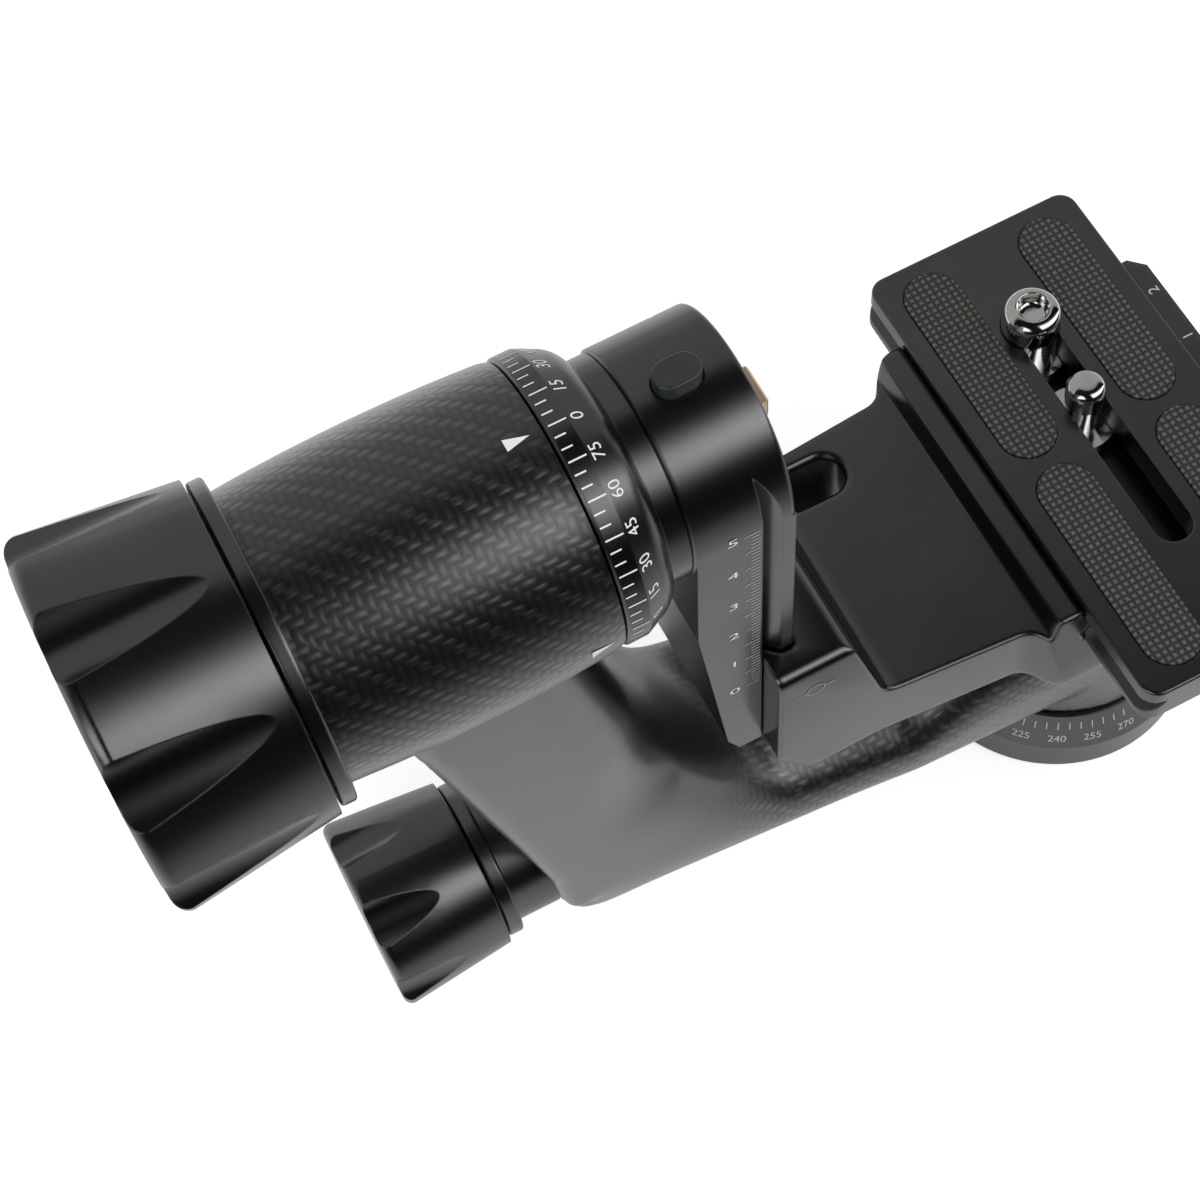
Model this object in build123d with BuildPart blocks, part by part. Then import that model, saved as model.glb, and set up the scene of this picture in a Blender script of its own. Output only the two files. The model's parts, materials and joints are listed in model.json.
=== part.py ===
from build123d import *
from math import cos, pi, radians, sin
import os

# A gimbal head for a long lens. Millimetres, +Z up along the pan axis, origin in the tripod socket's mouth.
# X runs along the tilt axis, from the big lock knob (-X) to the quick release clamp (+X). Y is the lens direction.

os.makedirs("parts", exist_ok=True)

# Shared clearances
running_gap = 0.3  # between faces that pass each other
shaft_gap = 0.05  # radial, shaft in its bore
seat_gap = 0.1  # between pieces bolted side by side
small_break = 0.5  # a machined edge's chamfer
clamp_gap = 0.2  # between a clamp's jaw and what it holds
overrun = 1.0  # how far a cut runs past the face it opens

# Main places
tilt_axis_height = 146.0
beam_axis_height = 33.2
pan_axis_x = 0.0

# Pan base
base_radius = 25.85
base_edge_height = 9.0
base_height = 16.0
base_top_radius = 22.5
base_edge_chamfer = 1.0
base_foot_radius = 22.9
base_foot_recess_radius = 17.0
base_foot_recess_depth = 0.8
base_well_radius = 15.5
base_well_floor = 11.0
axle_radius = 8.0
axle_flange_radius = 15.0
axle_flange_height = 3.5
axle_top = 43.6
axle_head_radius = 10.5
axle_head_height = 2.6
tripod_thread_radius = 4.7625
bush_radius = 7.5
bush_flange_radius = 9.5
bush_flange_height = 2.0
base_screw_circle_radius = 12.2
base_screw_radius = 1.4
base_screw_head_radius = 2.4
base_screw_head_height = 1.6
base_screw_length = 7.0
base_screw_count = 3

# Carbon arm
sleeve_left = -135.7
sleeve_right = -94.6
sleeve_end_radius = 21.6
sleeve_belly_radius = 22.3
sleeve_lip_round = 1.3
web_thickness = 33.4
web_left_round = 3.5
web_right_round = 12.0
web_top_left = -128.6
web_top_right = -99.0
web_knee_left = -110.3
web_knee_height = 48.0
web_knee_right = -81.5
web_foot_left = -108.6
web_foot_right = -80.0
web_inner_round = 14.0
web_corner_left = -95.0
beam_left = -109.0
beam_height = 33.4
beam_start_width = 32.8
beam_middle_x = -55.0
beam_middle_width = 38.8
beam_pan_width = 42.4
beam_corner_radius = 14.0
beam_end_round = 8.0
beam_end_shares = (0.0, 0.3, 0.6, 1.0)  # of the quarter turn that rounds the beam's end
pan_end_radius = 22.0
pan_end_round = 9.0
rod_bore_radius = 3.6
tube_socket_radius = 10.0
tube_socket_depth = 14.0

# Tilt bearings inside the sleeve
housing_radius = 18.0
housing_bore = 13.5
housing_left = -135.5
housing_right = -95.0
housing_land_left = -125.0
housing_land_right = -104.0
housing_land_bore = 11.5
tilt_shaft_radius = 8.0
tilt_bearing_width = 8.0
tilt_shaft_left = -156.0
tilt_thread_radius = 5.0
tilt_shaft_shoulder = -137.0
tilt_flange_radius = 13.0
tilt_flange_left = -94.2
tilt_flange_right = -91.0
brake_disc_radius = 17.0
brake_disc_thickness = 1.2
spring_washer_thickness = 0.8

# Ring at the sleeve's knob end
end_ring_left = -138.1
end_ring_radius = 24.0
end_ring_bore = 18.2
end_ring_round = 0.5

# Big fluted knob
tilt_knob_left = -163.5
tilt_knob_right = -138.5
tilt_knob_outer_radius = 27.5
tilt_knob_inner_radius = 24.8
tilt_knob_round = 2.2
tilt_knob_flutes = 8
tilt_knob_flute_turn = -2.2
tilt_flute_tip = -141.5
tilt_flute_depth = 2.6
tilt_flute_width = 11.6
tilt_knob_recess = 9.0
tilt_knob_wall = 4.0
tilt_insert_radius = 8.0
tilt_insert_left = -157.0
tilt_cap_radius = 12.0
tilt_cap_depth = 2.5

# Small fluted knob and what it turns on
pan_knob_left = -140.6
pan_knob_right = -119.6
pan_knob_outer_radius = 17.3
pan_knob_inner_radius = 15.4
pan_knob_round = 1.6
pan_knob_flutes = 7
pan_knob_flute_turn = -28.0
pan_flute_tip = -128.2
pan_flute_depth = 2.1
pan_flute_width = 9.4
pan_ring_left = -119.3
pan_ring_right = -116.5
pan_ring_radius = 14.4
pan_tube_radius = 12.6
pan_tube_right = -108.6
rod_radius = 3.5
rod_thread_radius = 4.0
rod_thread_right = -104.0
pan_cap_radius = 7.0
pan_cap_depth = 1.8

# Pan bearings, housing and brake inside the arm
pan_housing_radius = 17.0
pan_housing_bore = 13.0
pan_housing_top = 46.5
pan_bearing_height = 5.5
brake_shoe_length = 7.0
brake_shoe_height = 9.0
brake_shoe_width = 8.0

# Degree ring and swing arm
ring_left = -94.3
ring_radius = 21.5
ring_band_right = -90.9
ring_break = 0.45
ring_cone_right = -88.2
ring_cone_radius = 20.2
collar_left = -85.2
collar_radius = 16.7
hub_seam = -82.0
hub_right = -66.6
hub_radius = 17.1
hub_edge_round = 0.8
seam_depth = 0.4
tongue_foot = 72.7
tongue_taper_start = 120.3
tongue_foot_left = -77.6
tongue_foot_chamfer = 4.6
tongue_end_chamfer = 2.0
dovetail_left = -71.7
dovetail_right = -68.6
dovetail_depth = 3.06
swing_bolt_radius = 3.0
swing_bolt_head_radius = 5.0
swing_bolt_head_height = 4.0
swing_bolt_length = 16.0

# Safety button and its brass stop
button_x = -75.0
button_length = 7.0
button_width = 4.9
button_top_rise = 2.4
button_travel = 1.5
button_round = 0.5
button_depth = 6.0
button_spring_radius = 1.7
button_spring_wire = 0.4
button_spring_length = 4.0
stop_width = 6.0
stop_height = 4.2
stop_centre_y = -4.1
stop_centre_rise = 14.1
stop_proud = 1.3
stop_length = 4.6
stop_room = 1.4  # behind the stop, open to the button's pocket
stop_travel = 1.2

# L-shaped bracket
bracket_left = -66.2
block_front = 22.5
block_top = 103.0
block_top_right = -59.1
bracket_floor = 79.0
bracket_bottom = 61.5
slope_foot = -52.5
slope_foot_round = 4.0
neck_start_width = 44.4
neck_end_x = -27.0
neck_end_width = 48.0
head_left = -26.0
head_right = 14.0
head_width = 59.0
head_corner_round = 5.0
neck_corner_round = 4.0
bracket_under_round = 3.0
block_top_break = 0.9
slot_break = 0.7
corner_cut_right = -61.0
corner_cut_knee = 65.0
corner_cut_top = 74.0
pocket_wall = 4.5
pocket_roof = 73.0
pocket_left = -53.0
pocket_right = -29.0
slot_left = -51.0
slot_right = -38.2
slot_width = 7.1
slot_rim = 2.5  # between the slot and the neck's edge
hook_shift = 0.42  # the hook's flank from the groove's flank

# Height clamp, on the bracket's back
height_jaw_half_width = 5.1
height_jaw_above = 16.0
height_jaw_below = 18.0
height_screw_height = 84.0
height_screw_x = -60.5
height_screw_radius = 3.0
height_knob_radius = 13.0
height_knob_back_radius = 11.6
height_knob_length = 15.0
height_knob_flutes = 7
height_flute_depth = 1.7
height_flute_width = 6.6
height_washer_radius = 7.5
height_washer_thickness = 1.2
height_pin_radius = 2.0
height_pin_rise = 11.0
height_pin_depth = 9.0
height_screw_depth = 14.0

# Quick release clamp
channel_floor = 75.2
jaw_top = 82.4
fixed_jaw_left = -25.0
fixed_jaw_slope = 1.5
clamp_jaw_left = 14.4
clamp_jaw_right = 23.6
clamp_jaw_width = 51.0
clamp_jaw_corner = 2.4
clamp_jaw_bottom = 63.0
clamp_screw_height = 68.6
clamp_screw_radius = 3.0
clamp_screw_depth = 18.0
clamp_knob_left = 25.4
clamp_knob_length = 16.0
clamp_knob_radius = 12.5
clamp_knob_inner_radius = 11.2
clamp_knob_flutes = 7
clamp_flute_depth = 1.6
clamp_flute_width = 6.4
clamp_washer_radius = 7.0
clamp_pin_radius = 2.0
clamp_pin_spread = 34.0
clamp_pin_depth = 12.0
clamp_spring_radius = 2.9
clamp_spring_length = 5.0

# Camera plate
plate_centre_y = -1.4
plate_overhang = 13.5  # past each end of the clamp
plate_width = 38.8
plate_top = 84.5
plate_slab = 3.2
plate_bottom = 75.5
plate_neck_width = 32.0
plate_foot = 1.4
plate_corner_round = 3.0
plate_edge_round = 0.5
plate_slot_width = 6.5
plate_slot_inset = 20.9  # from the plate's near end
big_screw_inset = 20.0  # from the plate's far end
screw_spacing = 16.2
screw_pocket_width = 15.0
screw_pocket_height = 3.4
screw_pocket_end_margin = 9.0
pad_width = 9.6
pad_length = 38.6
pad_gap = 2.8
pad_offset_x = 11.0
pad_sink = 0.8
pad_proud = 0.3
pad_seat_gap = 0.1
small_screw_radius = 3.175
big_screw_radius = 4.7625
screw_head_height = 2.4
small_screw_head_radius = 6.0
big_screw_head_radius = 7.0
small_screw_rise = 5.4
big_screw_rise = 5.6
screw_tip_round = 0.9
screw_neck_relief = 0.5
screw_thread_start = 0.4  # above the plate's top, clear of the pads
big_screw_cup_radius = 2.5
big_screw_cup_depth = 2.0
screw_slot_width = 1.6
screw_slot_depth = 1.0
pin_radius = 2.0
pin_length = 2.6
pin_inset = 4.5
pin_spread = 20.0



def along_x(x):
    # A sketch plane square to X whose own x is Y and whose own y is Z.
    return Plane(origin=(x, 0, 0), x_dir=(0, 1, 0), z_dir=(1, 0, 0))


def ring_z(bottom, height, outer, inner):
    # A plain ring about the pan axis.
    with BuildPart() as ring:
        with BuildSketch(Plane.XY.offset(bottom)):
            Circle(outer)
            Circle(inner, mode=Mode.SUBTRACT)
        extrude(amount=height)
    return ring.part


def tube_x(left, right, outer, inner, height, y=0):
    # A plain ring or sleeve about a line parallel to X.
    with BuildPart() as tube:
        with BuildSketch(along_x(left)):
            with Locations((y, height)):
                Circle(outer)
                if inner > 0:
                    Circle(inner, mode=Mode.SUBTRACT)
        extrude(amount=right - left)
    return tube.part


def fluted_knob(length, outer, inner, end_round, count, turn, reach, depth, width):
    # A knob on +Z that stands on its small end at z = 0; its leaf-shaped flutes open through the big end.
    with BuildPart() as knob:
        with BuildSketch(Plane.XZ):
            with BuildLine():
                Polyline((0, length), (0, 0), (inner, 0), (outer, length - end_round))
                CenterArc((outer - end_round, length - end_round), end_round, 0, 90)
                Line((outer - end_round, length), (0, length))
            make_face()
        revolve(axis=Axis.Z)
        # Each flute is the sunk nose of a cylinder that leans into the knob toward its big end.
        cutter_radius = (width * width / 4 + depth * depth) / (2 * depth)
        slope = (outer - inner) / length
        tip_radius = inner + slope * (length - reach)
        lean = (tip_radius - (outer - depth)) / reach
        run = reach + length
        for step in range(count):
            angle = radians(turn + step * 360 / count)
            out = Vector(cos(angle), sin(angle), 0)
            base_point = Vector(0, 0, length - reach) + out * (tip_radius + cutter_radius)
            axis_dir = Vector(0, 0, 1) - out * lean
            with BuildSketch(Plane(origin=base_point - axis_dir * length, z_dir=axis_dir)):
                Circle(cutter_radius)
            extrude(amount=run + length, mode=Mode.SUBTRACT)
    return knob.part


def onto_minus_x(part, x, height):
    # Lays a +Z knob down so that its big end looks along -X and its small end stands at x.
    return part.rotate(Axis.Y, -90).moved(Location((x, 0, height)))


# Pan base
with BuildPart() as base_disc:
    with BuildSketch(Plane.XZ):
        with BuildLine():
            Polyline(
                (0, 0),
                (base_radius - base_edge_chamfer, 0),
                (base_radius, base_edge_chamfer),
                (base_radius, base_edge_height),
                (base_top_radius, base_height),
                (0, base_height),
                close=True,
            )
        make_face()
    revolve(axis=Axis.Z)
    with BuildSketch(Plane.XY):
        Circle(base_foot_radius)
        Circle(base_foot_recess_radius, mode=Mode.SUBTRACT)
    extrude(amount=base_foot_recess_depth, mode=Mode.SUBTRACT)
    with BuildSketch(Plane.XY.offset(base_well_floor)):
        Circle(base_well_radius)
    extrude(amount=base_height, mode=Mode.SUBTRACT)
    with BuildSketch(Plane.XY):
        Circle(bush_radius)
    extrude(amount=base_height, mode=Mode.SUBTRACT)
    with BuildSketch(Plane.XY.offset(base_well_floor - bush_flange_height)):
        Circle(bush_flange_radius)
    extrude(amount=base_height, mode=Mode.SUBTRACT)
    with BuildSketch(Plane.XY.offset(base_well_floor - base_screw_length + axle_flange_height)):
        with PolarLocations(base_screw_circle_radius, base_screw_count):
            Circle(base_screw_radius + shaft_gap)
    extrude(amount=base_height, mode=Mode.SUBTRACT)
base_disc.part.label = "base_disc"
export_step(base_disc.part, "parts/base_disc.step")

with BuildPart() as tripod_bush:
    with BuildSketch():
        Circle(bush_radius)
        Circle(tripod_thread_radius, mode=Mode.SUBTRACT)
    extrude(amount=base_well_floor)
    with BuildSketch(Plane.XY.offset(base_well_floor - bush_flange_height)):
        Circle(bush_flange_radius)
        Circle(tripod_thread_radius, mode=Mode.SUBTRACT)
    extrude(amount=bush_flange_height)
tripod_bush.part.label = "tripod_bush"
export_step(tripod_bush.part, "parts/tripod_bush.step")

with BuildPart() as pan_axle:
    with BuildSketch(Plane.XY.offset(base_well_floor)):
        Circle(axle_flange_radius)
        with PolarLocations(base_screw_circle_radius, base_screw_count):
            Circle(base_screw_radius + shaft_gap, mode=Mode.SUBTRACT)
    extrude(amount=axle_flange_height)
    with BuildSketch(Plane.XY.offset(base_well_floor)):
        Circle(axle_radius)
    extrude(amount=axle_top - base_well_floor)
    chamfer(pan_axle.edges().sort_by(Axis.Z)[-1], small_break)
pan_axle.part.label = "pan_axle"
export_step(pan_axle.part, "parts/pan_axle.step")

with BuildPart() as base_screws:
    with BuildSketch(Plane.XY.offset(base_well_floor + axle_flange_height)):
        with PolarLocations(base_screw_circle_radius, base_screw_count):
            Circle(base_screw_head_radius)
    extrude(amount=base_screw_head_height)
    with BuildSketch(Plane.XY.offset(base_well_floor + axle_flange_height - base_screw_length)):
        with PolarLocations(base_screw_circle_radius, base_screw_count):
            Circle(base_screw_radius)
    extrude(amount=base_screw_length)
base_screws.part.label = "base_screws"
export_step(base_screws.part, "parts/base_screws.step")

# Carbon arm: sleeve, web, beam and the end over the pan base
beam_bottom = base_height + running_gap
beam_top = beam_bottom + beam_height
beam_middle_height = beam_bottom + beam_height / 2
with BuildPart() as web:
    for height, left, right in (
        (tilt_axis_height - housing_radius / 2, web_top_left, web_top_right),
        (web_knee_height, web_knee_left, web_knee_right),
        (beam_middle_height, web_foot_left, web_foot_right),
    ):
        with BuildSketch(Plane.XY.offset(height)) as section:
            with Locations(((left + right) / 2, 0)):
                Rectangle(right - left, web_thickness)
            fillet(section.vertices().sort_by(Axis.X)[:2], web_left_round)
            fillet(section.vertices().sort_by(Axis.X)[-2:], web_right_round)
    loft(ruled=True)
with BuildPart() as inner_corner:
    with BuildSketch(Plane.XZ.offset(-web_thickness / 2)):
        with BuildLine():
            foot = (web_foot_right + web_inner_round, beam_top)
            top = (web_knee_right, beam_top + web_inner_round)
            RadiusArc(top, foot, -web_inner_round)
            Polyline(foot, (foot[0], beam_middle_height), (web_corner_left, beam_middle_height))
            Polyline((web_corner_left, beam_middle_height), (web_corner_left, top[1]), top)
        make_face()
    extrude(amount=web_thickness)
    # The corner keeps to the outline of the beam under it
    with BuildSketch(Plane.XY.offset(beam_middle_height)):
        with Locations(((web_corner_left + foot[0]) / 2, 0)):
            RectangleRounded(foot[0] - web_corner_left, web_thickness, web_left_round)
    extrude(amount=tilt_axis_height, mode=Mode.INTERSECT)
with BuildPart() as beam:
    for share in beam_end_shares:
        inset = beam_end_round * (1 - sin(share * pi / 2))
        with BuildSketch(along_x(beam_left + beam_end_round * (1 - cos(share * pi / 2)))):
            with Locations((0, beam_middle_height)):
                RectangleRounded(
                    beam_start_width - inset * 2, beam_height - inset * 2, beam_corner_radius - inset
                )
    with BuildSketch(along_x(beam_middle_x)):
        with Locations((0, beam_middle_height)):
            RectangleRounded(beam_middle_width, beam_height, beam_corner_radius)
    with BuildSketch(along_x(pan_axis_x)):
        with Locations((0, beam_middle_height)):
            RectangleRounded(beam_pan_width, beam_height, beam_corner_radius)
    loft(ruled=True)
with BuildPart() as dome:
    with BuildSketch(Plane.XY.offset(beam_bottom)):
        Circle(pan_end_radius)
    extrude(amount=beam_height)
    fillet(dome.edges().sort_by(Axis.Z)[-1], pan_end_round)
with BuildPart() as arm_shell:
    with BuildSketch(Plane.XZ):
        with BuildLine():
            sleeve_span = sleeve_right - sleeve_left
            top_left = (sleeve_left, tilt_axis_height + sleeve_end_radius)
            top_belly = (sleeve_left + sleeve_span * 3 / 5, tilt_axis_height + sleeve_belly_radius)
            top_right = (sleeve_right - sleeve_lip_round, tilt_axis_height + sleeve_end_radius)
            lip = (sleeve_right, tilt_axis_height + sleeve_end_radius - sleeve_lip_round)
            ThreePointArc(top_left, top_belly, top_right)
            Line(top_right, lip)
            Polyline(lip, (sleeve_right, tilt_axis_height), (sleeve_left, tilt_axis_height), top_left)
        make_face()
    revolve(axis=Axis((0, 0, tilt_axis_height), (1, 0, 0)))
    add([web.part, inner_corner.part, beam.part, dome.part])
    # Bore for the tilt bearings' housing
    with BuildSketch(along_x(sleeve_left)):
        with Locations((0, tilt_axis_height)):
            Circle(housing_radius)
    extrude(amount=sleeve_right - sleeve_left, mode=Mode.SUBTRACT)
    # Well for the pan bearings' housing, open underneath
    with BuildSketch(Plane.XY.offset(beam_bottom)):
        Circle(pan_housing_radius)
    extrude(amount=pan_housing_top - beam_bottom, mode=Mode.SUBTRACT)
    # Seat and socket for the small knob's tube, and the long bore for its rod
    with BuildSketch(along_x(pan_tube_right + seat_gap)):
        with Locations((0, beam_axis_height)):
            Circle(pan_tube_radius + seat_gap)
    extrude(amount=pan_ring_right - pan_tube_right, mode=Mode.SUBTRACT)
    with BuildSketch(along_x(beam_left)):
        with Locations((0, beam_axis_height)):
            Circle(tube_socket_radius)
    extrude(amount=tube_socket_depth, mode=Mode.SUBTRACT)
    with BuildSketch(along_x(beam_left)):
        with Locations((0, beam_axis_height)):
            Circle(rod_bore_radius)
    extrude(amount=pan_axis_x - beam_left, mode=Mode.SUBTRACT)
arm_shell.part.label = "arm_shell"
export_step(arm_shell.part, "parts/arm_shell.step")

# Tilt bearings, shaft and lock
with BuildPart() as tilt_housing:
    add(tube_x(housing_left, housing_right, housing_radius - shaft_gap, housing_bore, tilt_axis_height))
    add(tube_x(housing_land_left, housing_land_right, housing_bore, housing_land_bore, tilt_axis_height))
tilt_housing.part.label = "tilt_housing"
export_step(tilt_housing.part, "parts/tilt_housing.step")

bearing_bore = tilt_shaft_radius + shaft_gap
bearing_outside = housing_bore - shaft_gap
left_bearing_right = housing_land_left - seat_gap
right_bearing_left = housing_land_right + seat_gap
with BuildPart() as tilt_bearing_left:
    add(
        tube_x(
            left_bearing_right - tilt_bearing_width,
            left_bearing_right,
            bearing_outside,
            bearing_bore,
            tilt_axis_height,
        )
    )
tilt_bearing_left.part.label = "tilt_bearing_left"
export_step(tilt_bearing_left.part, "parts/tilt_bearing_left.step")
with BuildPart() as tilt_bearing_right:
    add(
        tube_x(
            right_bearing_left,
            right_bearing_left + tilt_bearing_width,
            bearing_outside,
            bearing_bore,
            tilt_axis_height,
        )
    )
tilt_bearing_right.part.label = "tilt_bearing_right"
export_step(tilt_bearing_right.part, "parts/tilt_bearing_right.step")

hub_spigot_right = hub_seam + tilt_shaft_radius
with BuildPart() as tilt_shaft:
    with BuildSketch(Plane.XZ):
        with BuildLine():
            Polyline(
                (tilt_shaft_left, tilt_axis_height),
                (tilt_shaft_left, tilt_axis_height + tilt_thread_radius),
                (tilt_shaft_shoulder, tilt_axis_height + tilt_thread_radius),
                (tilt_shaft_shoulder, tilt_axis_height + tilt_shaft_radius),
                (tilt_flange_left, tilt_axis_height + tilt_shaft_radius),
                (tilt_flange_left, tilt_axis_height + tilt_flange_radius),
                (tilt_flange_right, tilt_axis_height + tilt_flange_radius),
                (tilt_flange_right, tilt_axis_height + tilt_shaft_radius),
                (hub_seam, tilt_axis_height + tilt_shaft_radius),
                (hub_spigot_right, tilt_axis_height + tilt_shaft_radius),
                (hub_spigot_right, tilt_axis_height),
                close=True,
            )
        make_face()
    revolve(axis=Axis((0, 0, tilt_axis_height), (1, 0, 0)))
    with BuildSketch(along_x(hub_spigot_right)):
        with Locations((0, tilt_axis_height)):
            Circle(swing_bolt_radius + shaft_gap)
    extrude(amount=-swing_bolt_length, mode=Mode.SUBTRACT)
tilt_shaft.part.label = "tilt_shaft"
export_step(tilt_shaft.part, "parts/tilt_shaft.step")

brake_left = end_ring_left + seat_gap
with BuildPart() as tilt_brake_disc:
    add(
        tube_x(
            brake_left + spring_washer_thickness + seat_gap,
            brake_left + spring_washer_thickness + seat_gap + brake_disc_thickness,
            brake_disc_radius,
            bearing_bore,
            tilt_axis_height,
        )
    )
tilt_brake_disc.part.label = "tilt_brake_disc"
export_step(tilt_brake_disc.part, "parts/tilt_brake_disc.step")
with BuildPart() as tilt_spring_washer:
    add(
        tube_x(
            brake_left,
            brake_left + spring_washer_thickness,
            brake_disc_radius - seat_gap,
            bearing_bore,
            tilt_axis_height,
        )
    )
tilt_spring_washer.part.label = "tilt_spring_washer"
export_step(tilt_spring_washer.part, "parts/tilt_spring_washer.step")

with BuildPart() as drum_end_ring:
    with BuildSketch(along_x(end_ring_left)):
        with Locations((0, tilt_axis_height)):
            Circle(end_ring_radius)
            Circle(end_ring_bore, mode=Mode.SUBTRACT)
    extrude(amount=sleeve_left - end_ring_left)
    fillet(drum_end_ring.edges().filter_by(GeomType.CIRCLE).sort_by(SortBy.RADIUS)[-2:], end_ring_round)
drum_end_ring.part.label = "drum_end_ring"
export_step(drum_end_ring.part, "parts/drum_end_ring.step")

# Big fluted knob
tilt_knob_length = tilt_knob_right - tilt_knob_left
with BuildPart() as tilt_lock_knob:
    add(
        onto_minus_x(
            fluted_knob(
                tilt_knob_length,
                tilt_knob_outer_radius,
                tilt_knob_inner_radius,
                tilt_knob_round,
                tilt_knob_flutes,
                tilt_knob_flute_turn,
                tilt_flute_tip - tilt_knob_left,
                tilt_flute_depth,
                tilt_flute_width,
            ),
            tilt_knob_right,
            tilt_axis_height,
        )
    )
    with BuildSketch(along_x(tilt_knob_right)):
        with Locations((0, tilt_axis_height)):
            Circle(tilt_knob_inner_radius - tilt_knob_wall)
            Circle(tilt_insert_radius + tilt_knob_wall, mode=Mode.SUBTRACT)
    extrude(amount=-tilt_knob_recess, mode=Mode.SUBTRACT)
    with BuildSketch(along_x(tilt_knob_right)):
        with Locations((0, tilt_axis_height)):
            Circle(tilt_insert_radius)
    extrude(amount=tilt_insert_left - tilt_knob_right, mode=Mode.SUBTRACT)
    with BuildSketch(along_x(tilt_knob_left)):
        with Locations((0, tilt_axis_height)):
            Circle(tilt_cap_radius + seat_gap)
    extrude(amount=tilt_cap_depth, mode=Mode.SUBTRACT)
tilt_lock_knob.part.label = "tilt_lock_knob"
export_step(tilt_lock_knob.part, "parts/tilt_lock_knob.step")
with BuildPart() as tilt_knob_insert:
    add(
        tube_x(
            tilt_insert_left,
            tilt_knob_right,
            tilt_insert_radius,
            tilt_thread_radius + shaft_gap,
            tilt_axis_height,
        )
    )
tilt_knob_insert.part.label = "tilt_knob_insert"
export_step(tilt_knob_insert.part, "parts/tilt_knob_insert.step")
with BuildPart() as tilt_knob_cap:
    add(tube_x(tilt_knob_left, tilt_knob_left + tilt_cap_depth, tilt_cap_radius, 0, tilt_axis_height))
tilt_knob_cap.part.label = "tilt_knob_cap"
export_step(tilt_knob_cap.part, "parts/tilt_knob_cap.step")

# Small fluted knob, its rod and tube
pan_knob_length = pan_knob_right - pan_knob_left
with BuildPart() as pan_lock_knob:
    add(
        onto_minus_x(
            fluted_knob(
                pan_knob_length,
                pan_knob_outer_radius,
                pan_knob_inner_radius,
                pan_knob_round,
                pan_knob_flutes,
                pan_knob_flute_turn,
                pan_flute_tip - pan_knob_left,
                pan_flute_depth,
                pan_flute_width,
            ),
            pan_knob_right,
            beam_axis_height,
        )
    )
    with BuildSketch(along_x(pan_knob_right)):
        with Locations((0, beam_axis_height)):
            Circle(rod_thread_radius)
    extrude(amount=pan_knob_left + pan_cap_depth - pan_knob_right, mode=Mode.SUBTRACT)
    with BuildSketch(along_x(pan_knob_left)):
        with Locations((0, beam_axis_height)):
            Circle(pan_cap_radius + seat_gap)
    extrude(amount=pan_cap_depth, mode=Mode.SUBTRACT)
pan_lock_knob.part.label = "pan_lock_knob"
export_step(pan_lock_knob.part, "parts/pan_lock_knob.step")
with BuildPart() as pan_knob_cap:
    add(tube_x(pan_knob_left, pan_knob_left + pan_cap_depth, pan_cap_radius, 0, beam_axis_height))
pan_knob_cap.part.label = "pan_knob_cap"
export_step(pan_knob_cap.part, "parts/pan_knob_cap.step")
with BuildPart() as pan_knob_screw:
    add(
        tube_x(
            pan_knob_left + pan_cap_depth,
            rod_thread_right,
            rod_thread_radius - shaft_gap,
            0,
            beam_axis_height,
        )
    )
pan_knob_screw.part.label = "pan_knob_screw"
export_step(pan_knob_screw.part, "parts/pan_knob_screw.step")

with BuildPart() as pan_lock_tube:
    add(tube_x(pan_ring_left, pan_ring_right, pan_ring_radius, rod_thread_radius, beam_axis_height))
    add(tube_x(pan_ring_right, pan_tube_right, pan_tube_radius, rod_thread_radius, beam_axis_height))
    add(
        tube_x(
            pan_tube_right,
            beam_left + tube_socket_depth - seat_gap,
            tube_socket_radius - shaft_gap,
            rod_thread_radius,
            beam_axis_height,
        )
    )
    fillet(pan_lock_tube.edges().filter_by(GeomType.CIRCLE).sort_by(SortBy.RADIUS)[-2:], end_ring_round)
pan_lock_tube.part.label = "pan_lock_tube"
export_step(pan_lock_tube.part, "parts/pan_lock_tube.step")

shoe_right = pan_axis_x - axle_radius - shaft_gap
shoe_left = shoe_right - brake_shoe_length
with BuildPart() as pan_brake_rod:
    add(tube_x(rod_thread_right + seat_gap, shoe_left, rod_radius, 0, beam_axis_height))
pan_brake_rod.part.label = "pan_brake_rod"
export_step(pan_brake_rod.part, "parts/pan_brake_rod.step")
with BuildPart() as pan_brake_shoe:
    with BuildSketch(along_x(shoe_left)):
        with Locations((0, beam_axis_height)):
            Rectangle(brake_shoe_width, brake_shoe_height)
    extrude(amount=brake_shoe_length + axle_radius / 2)
    with BuildSketch(Plane.XY.offset(beam_axis_height - brake_shoe_height)):
        Circle(axle_radius + shaft_gap)
    extrude(amount=brake_shoe_height * 2, mode=Mode.SUBTRACT)
pan_brake_shoe.part.label = "pan_brake_shoe"
export_step(pan_brake_shoe.part, "parts/pan_brake_shoe.step")

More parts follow.
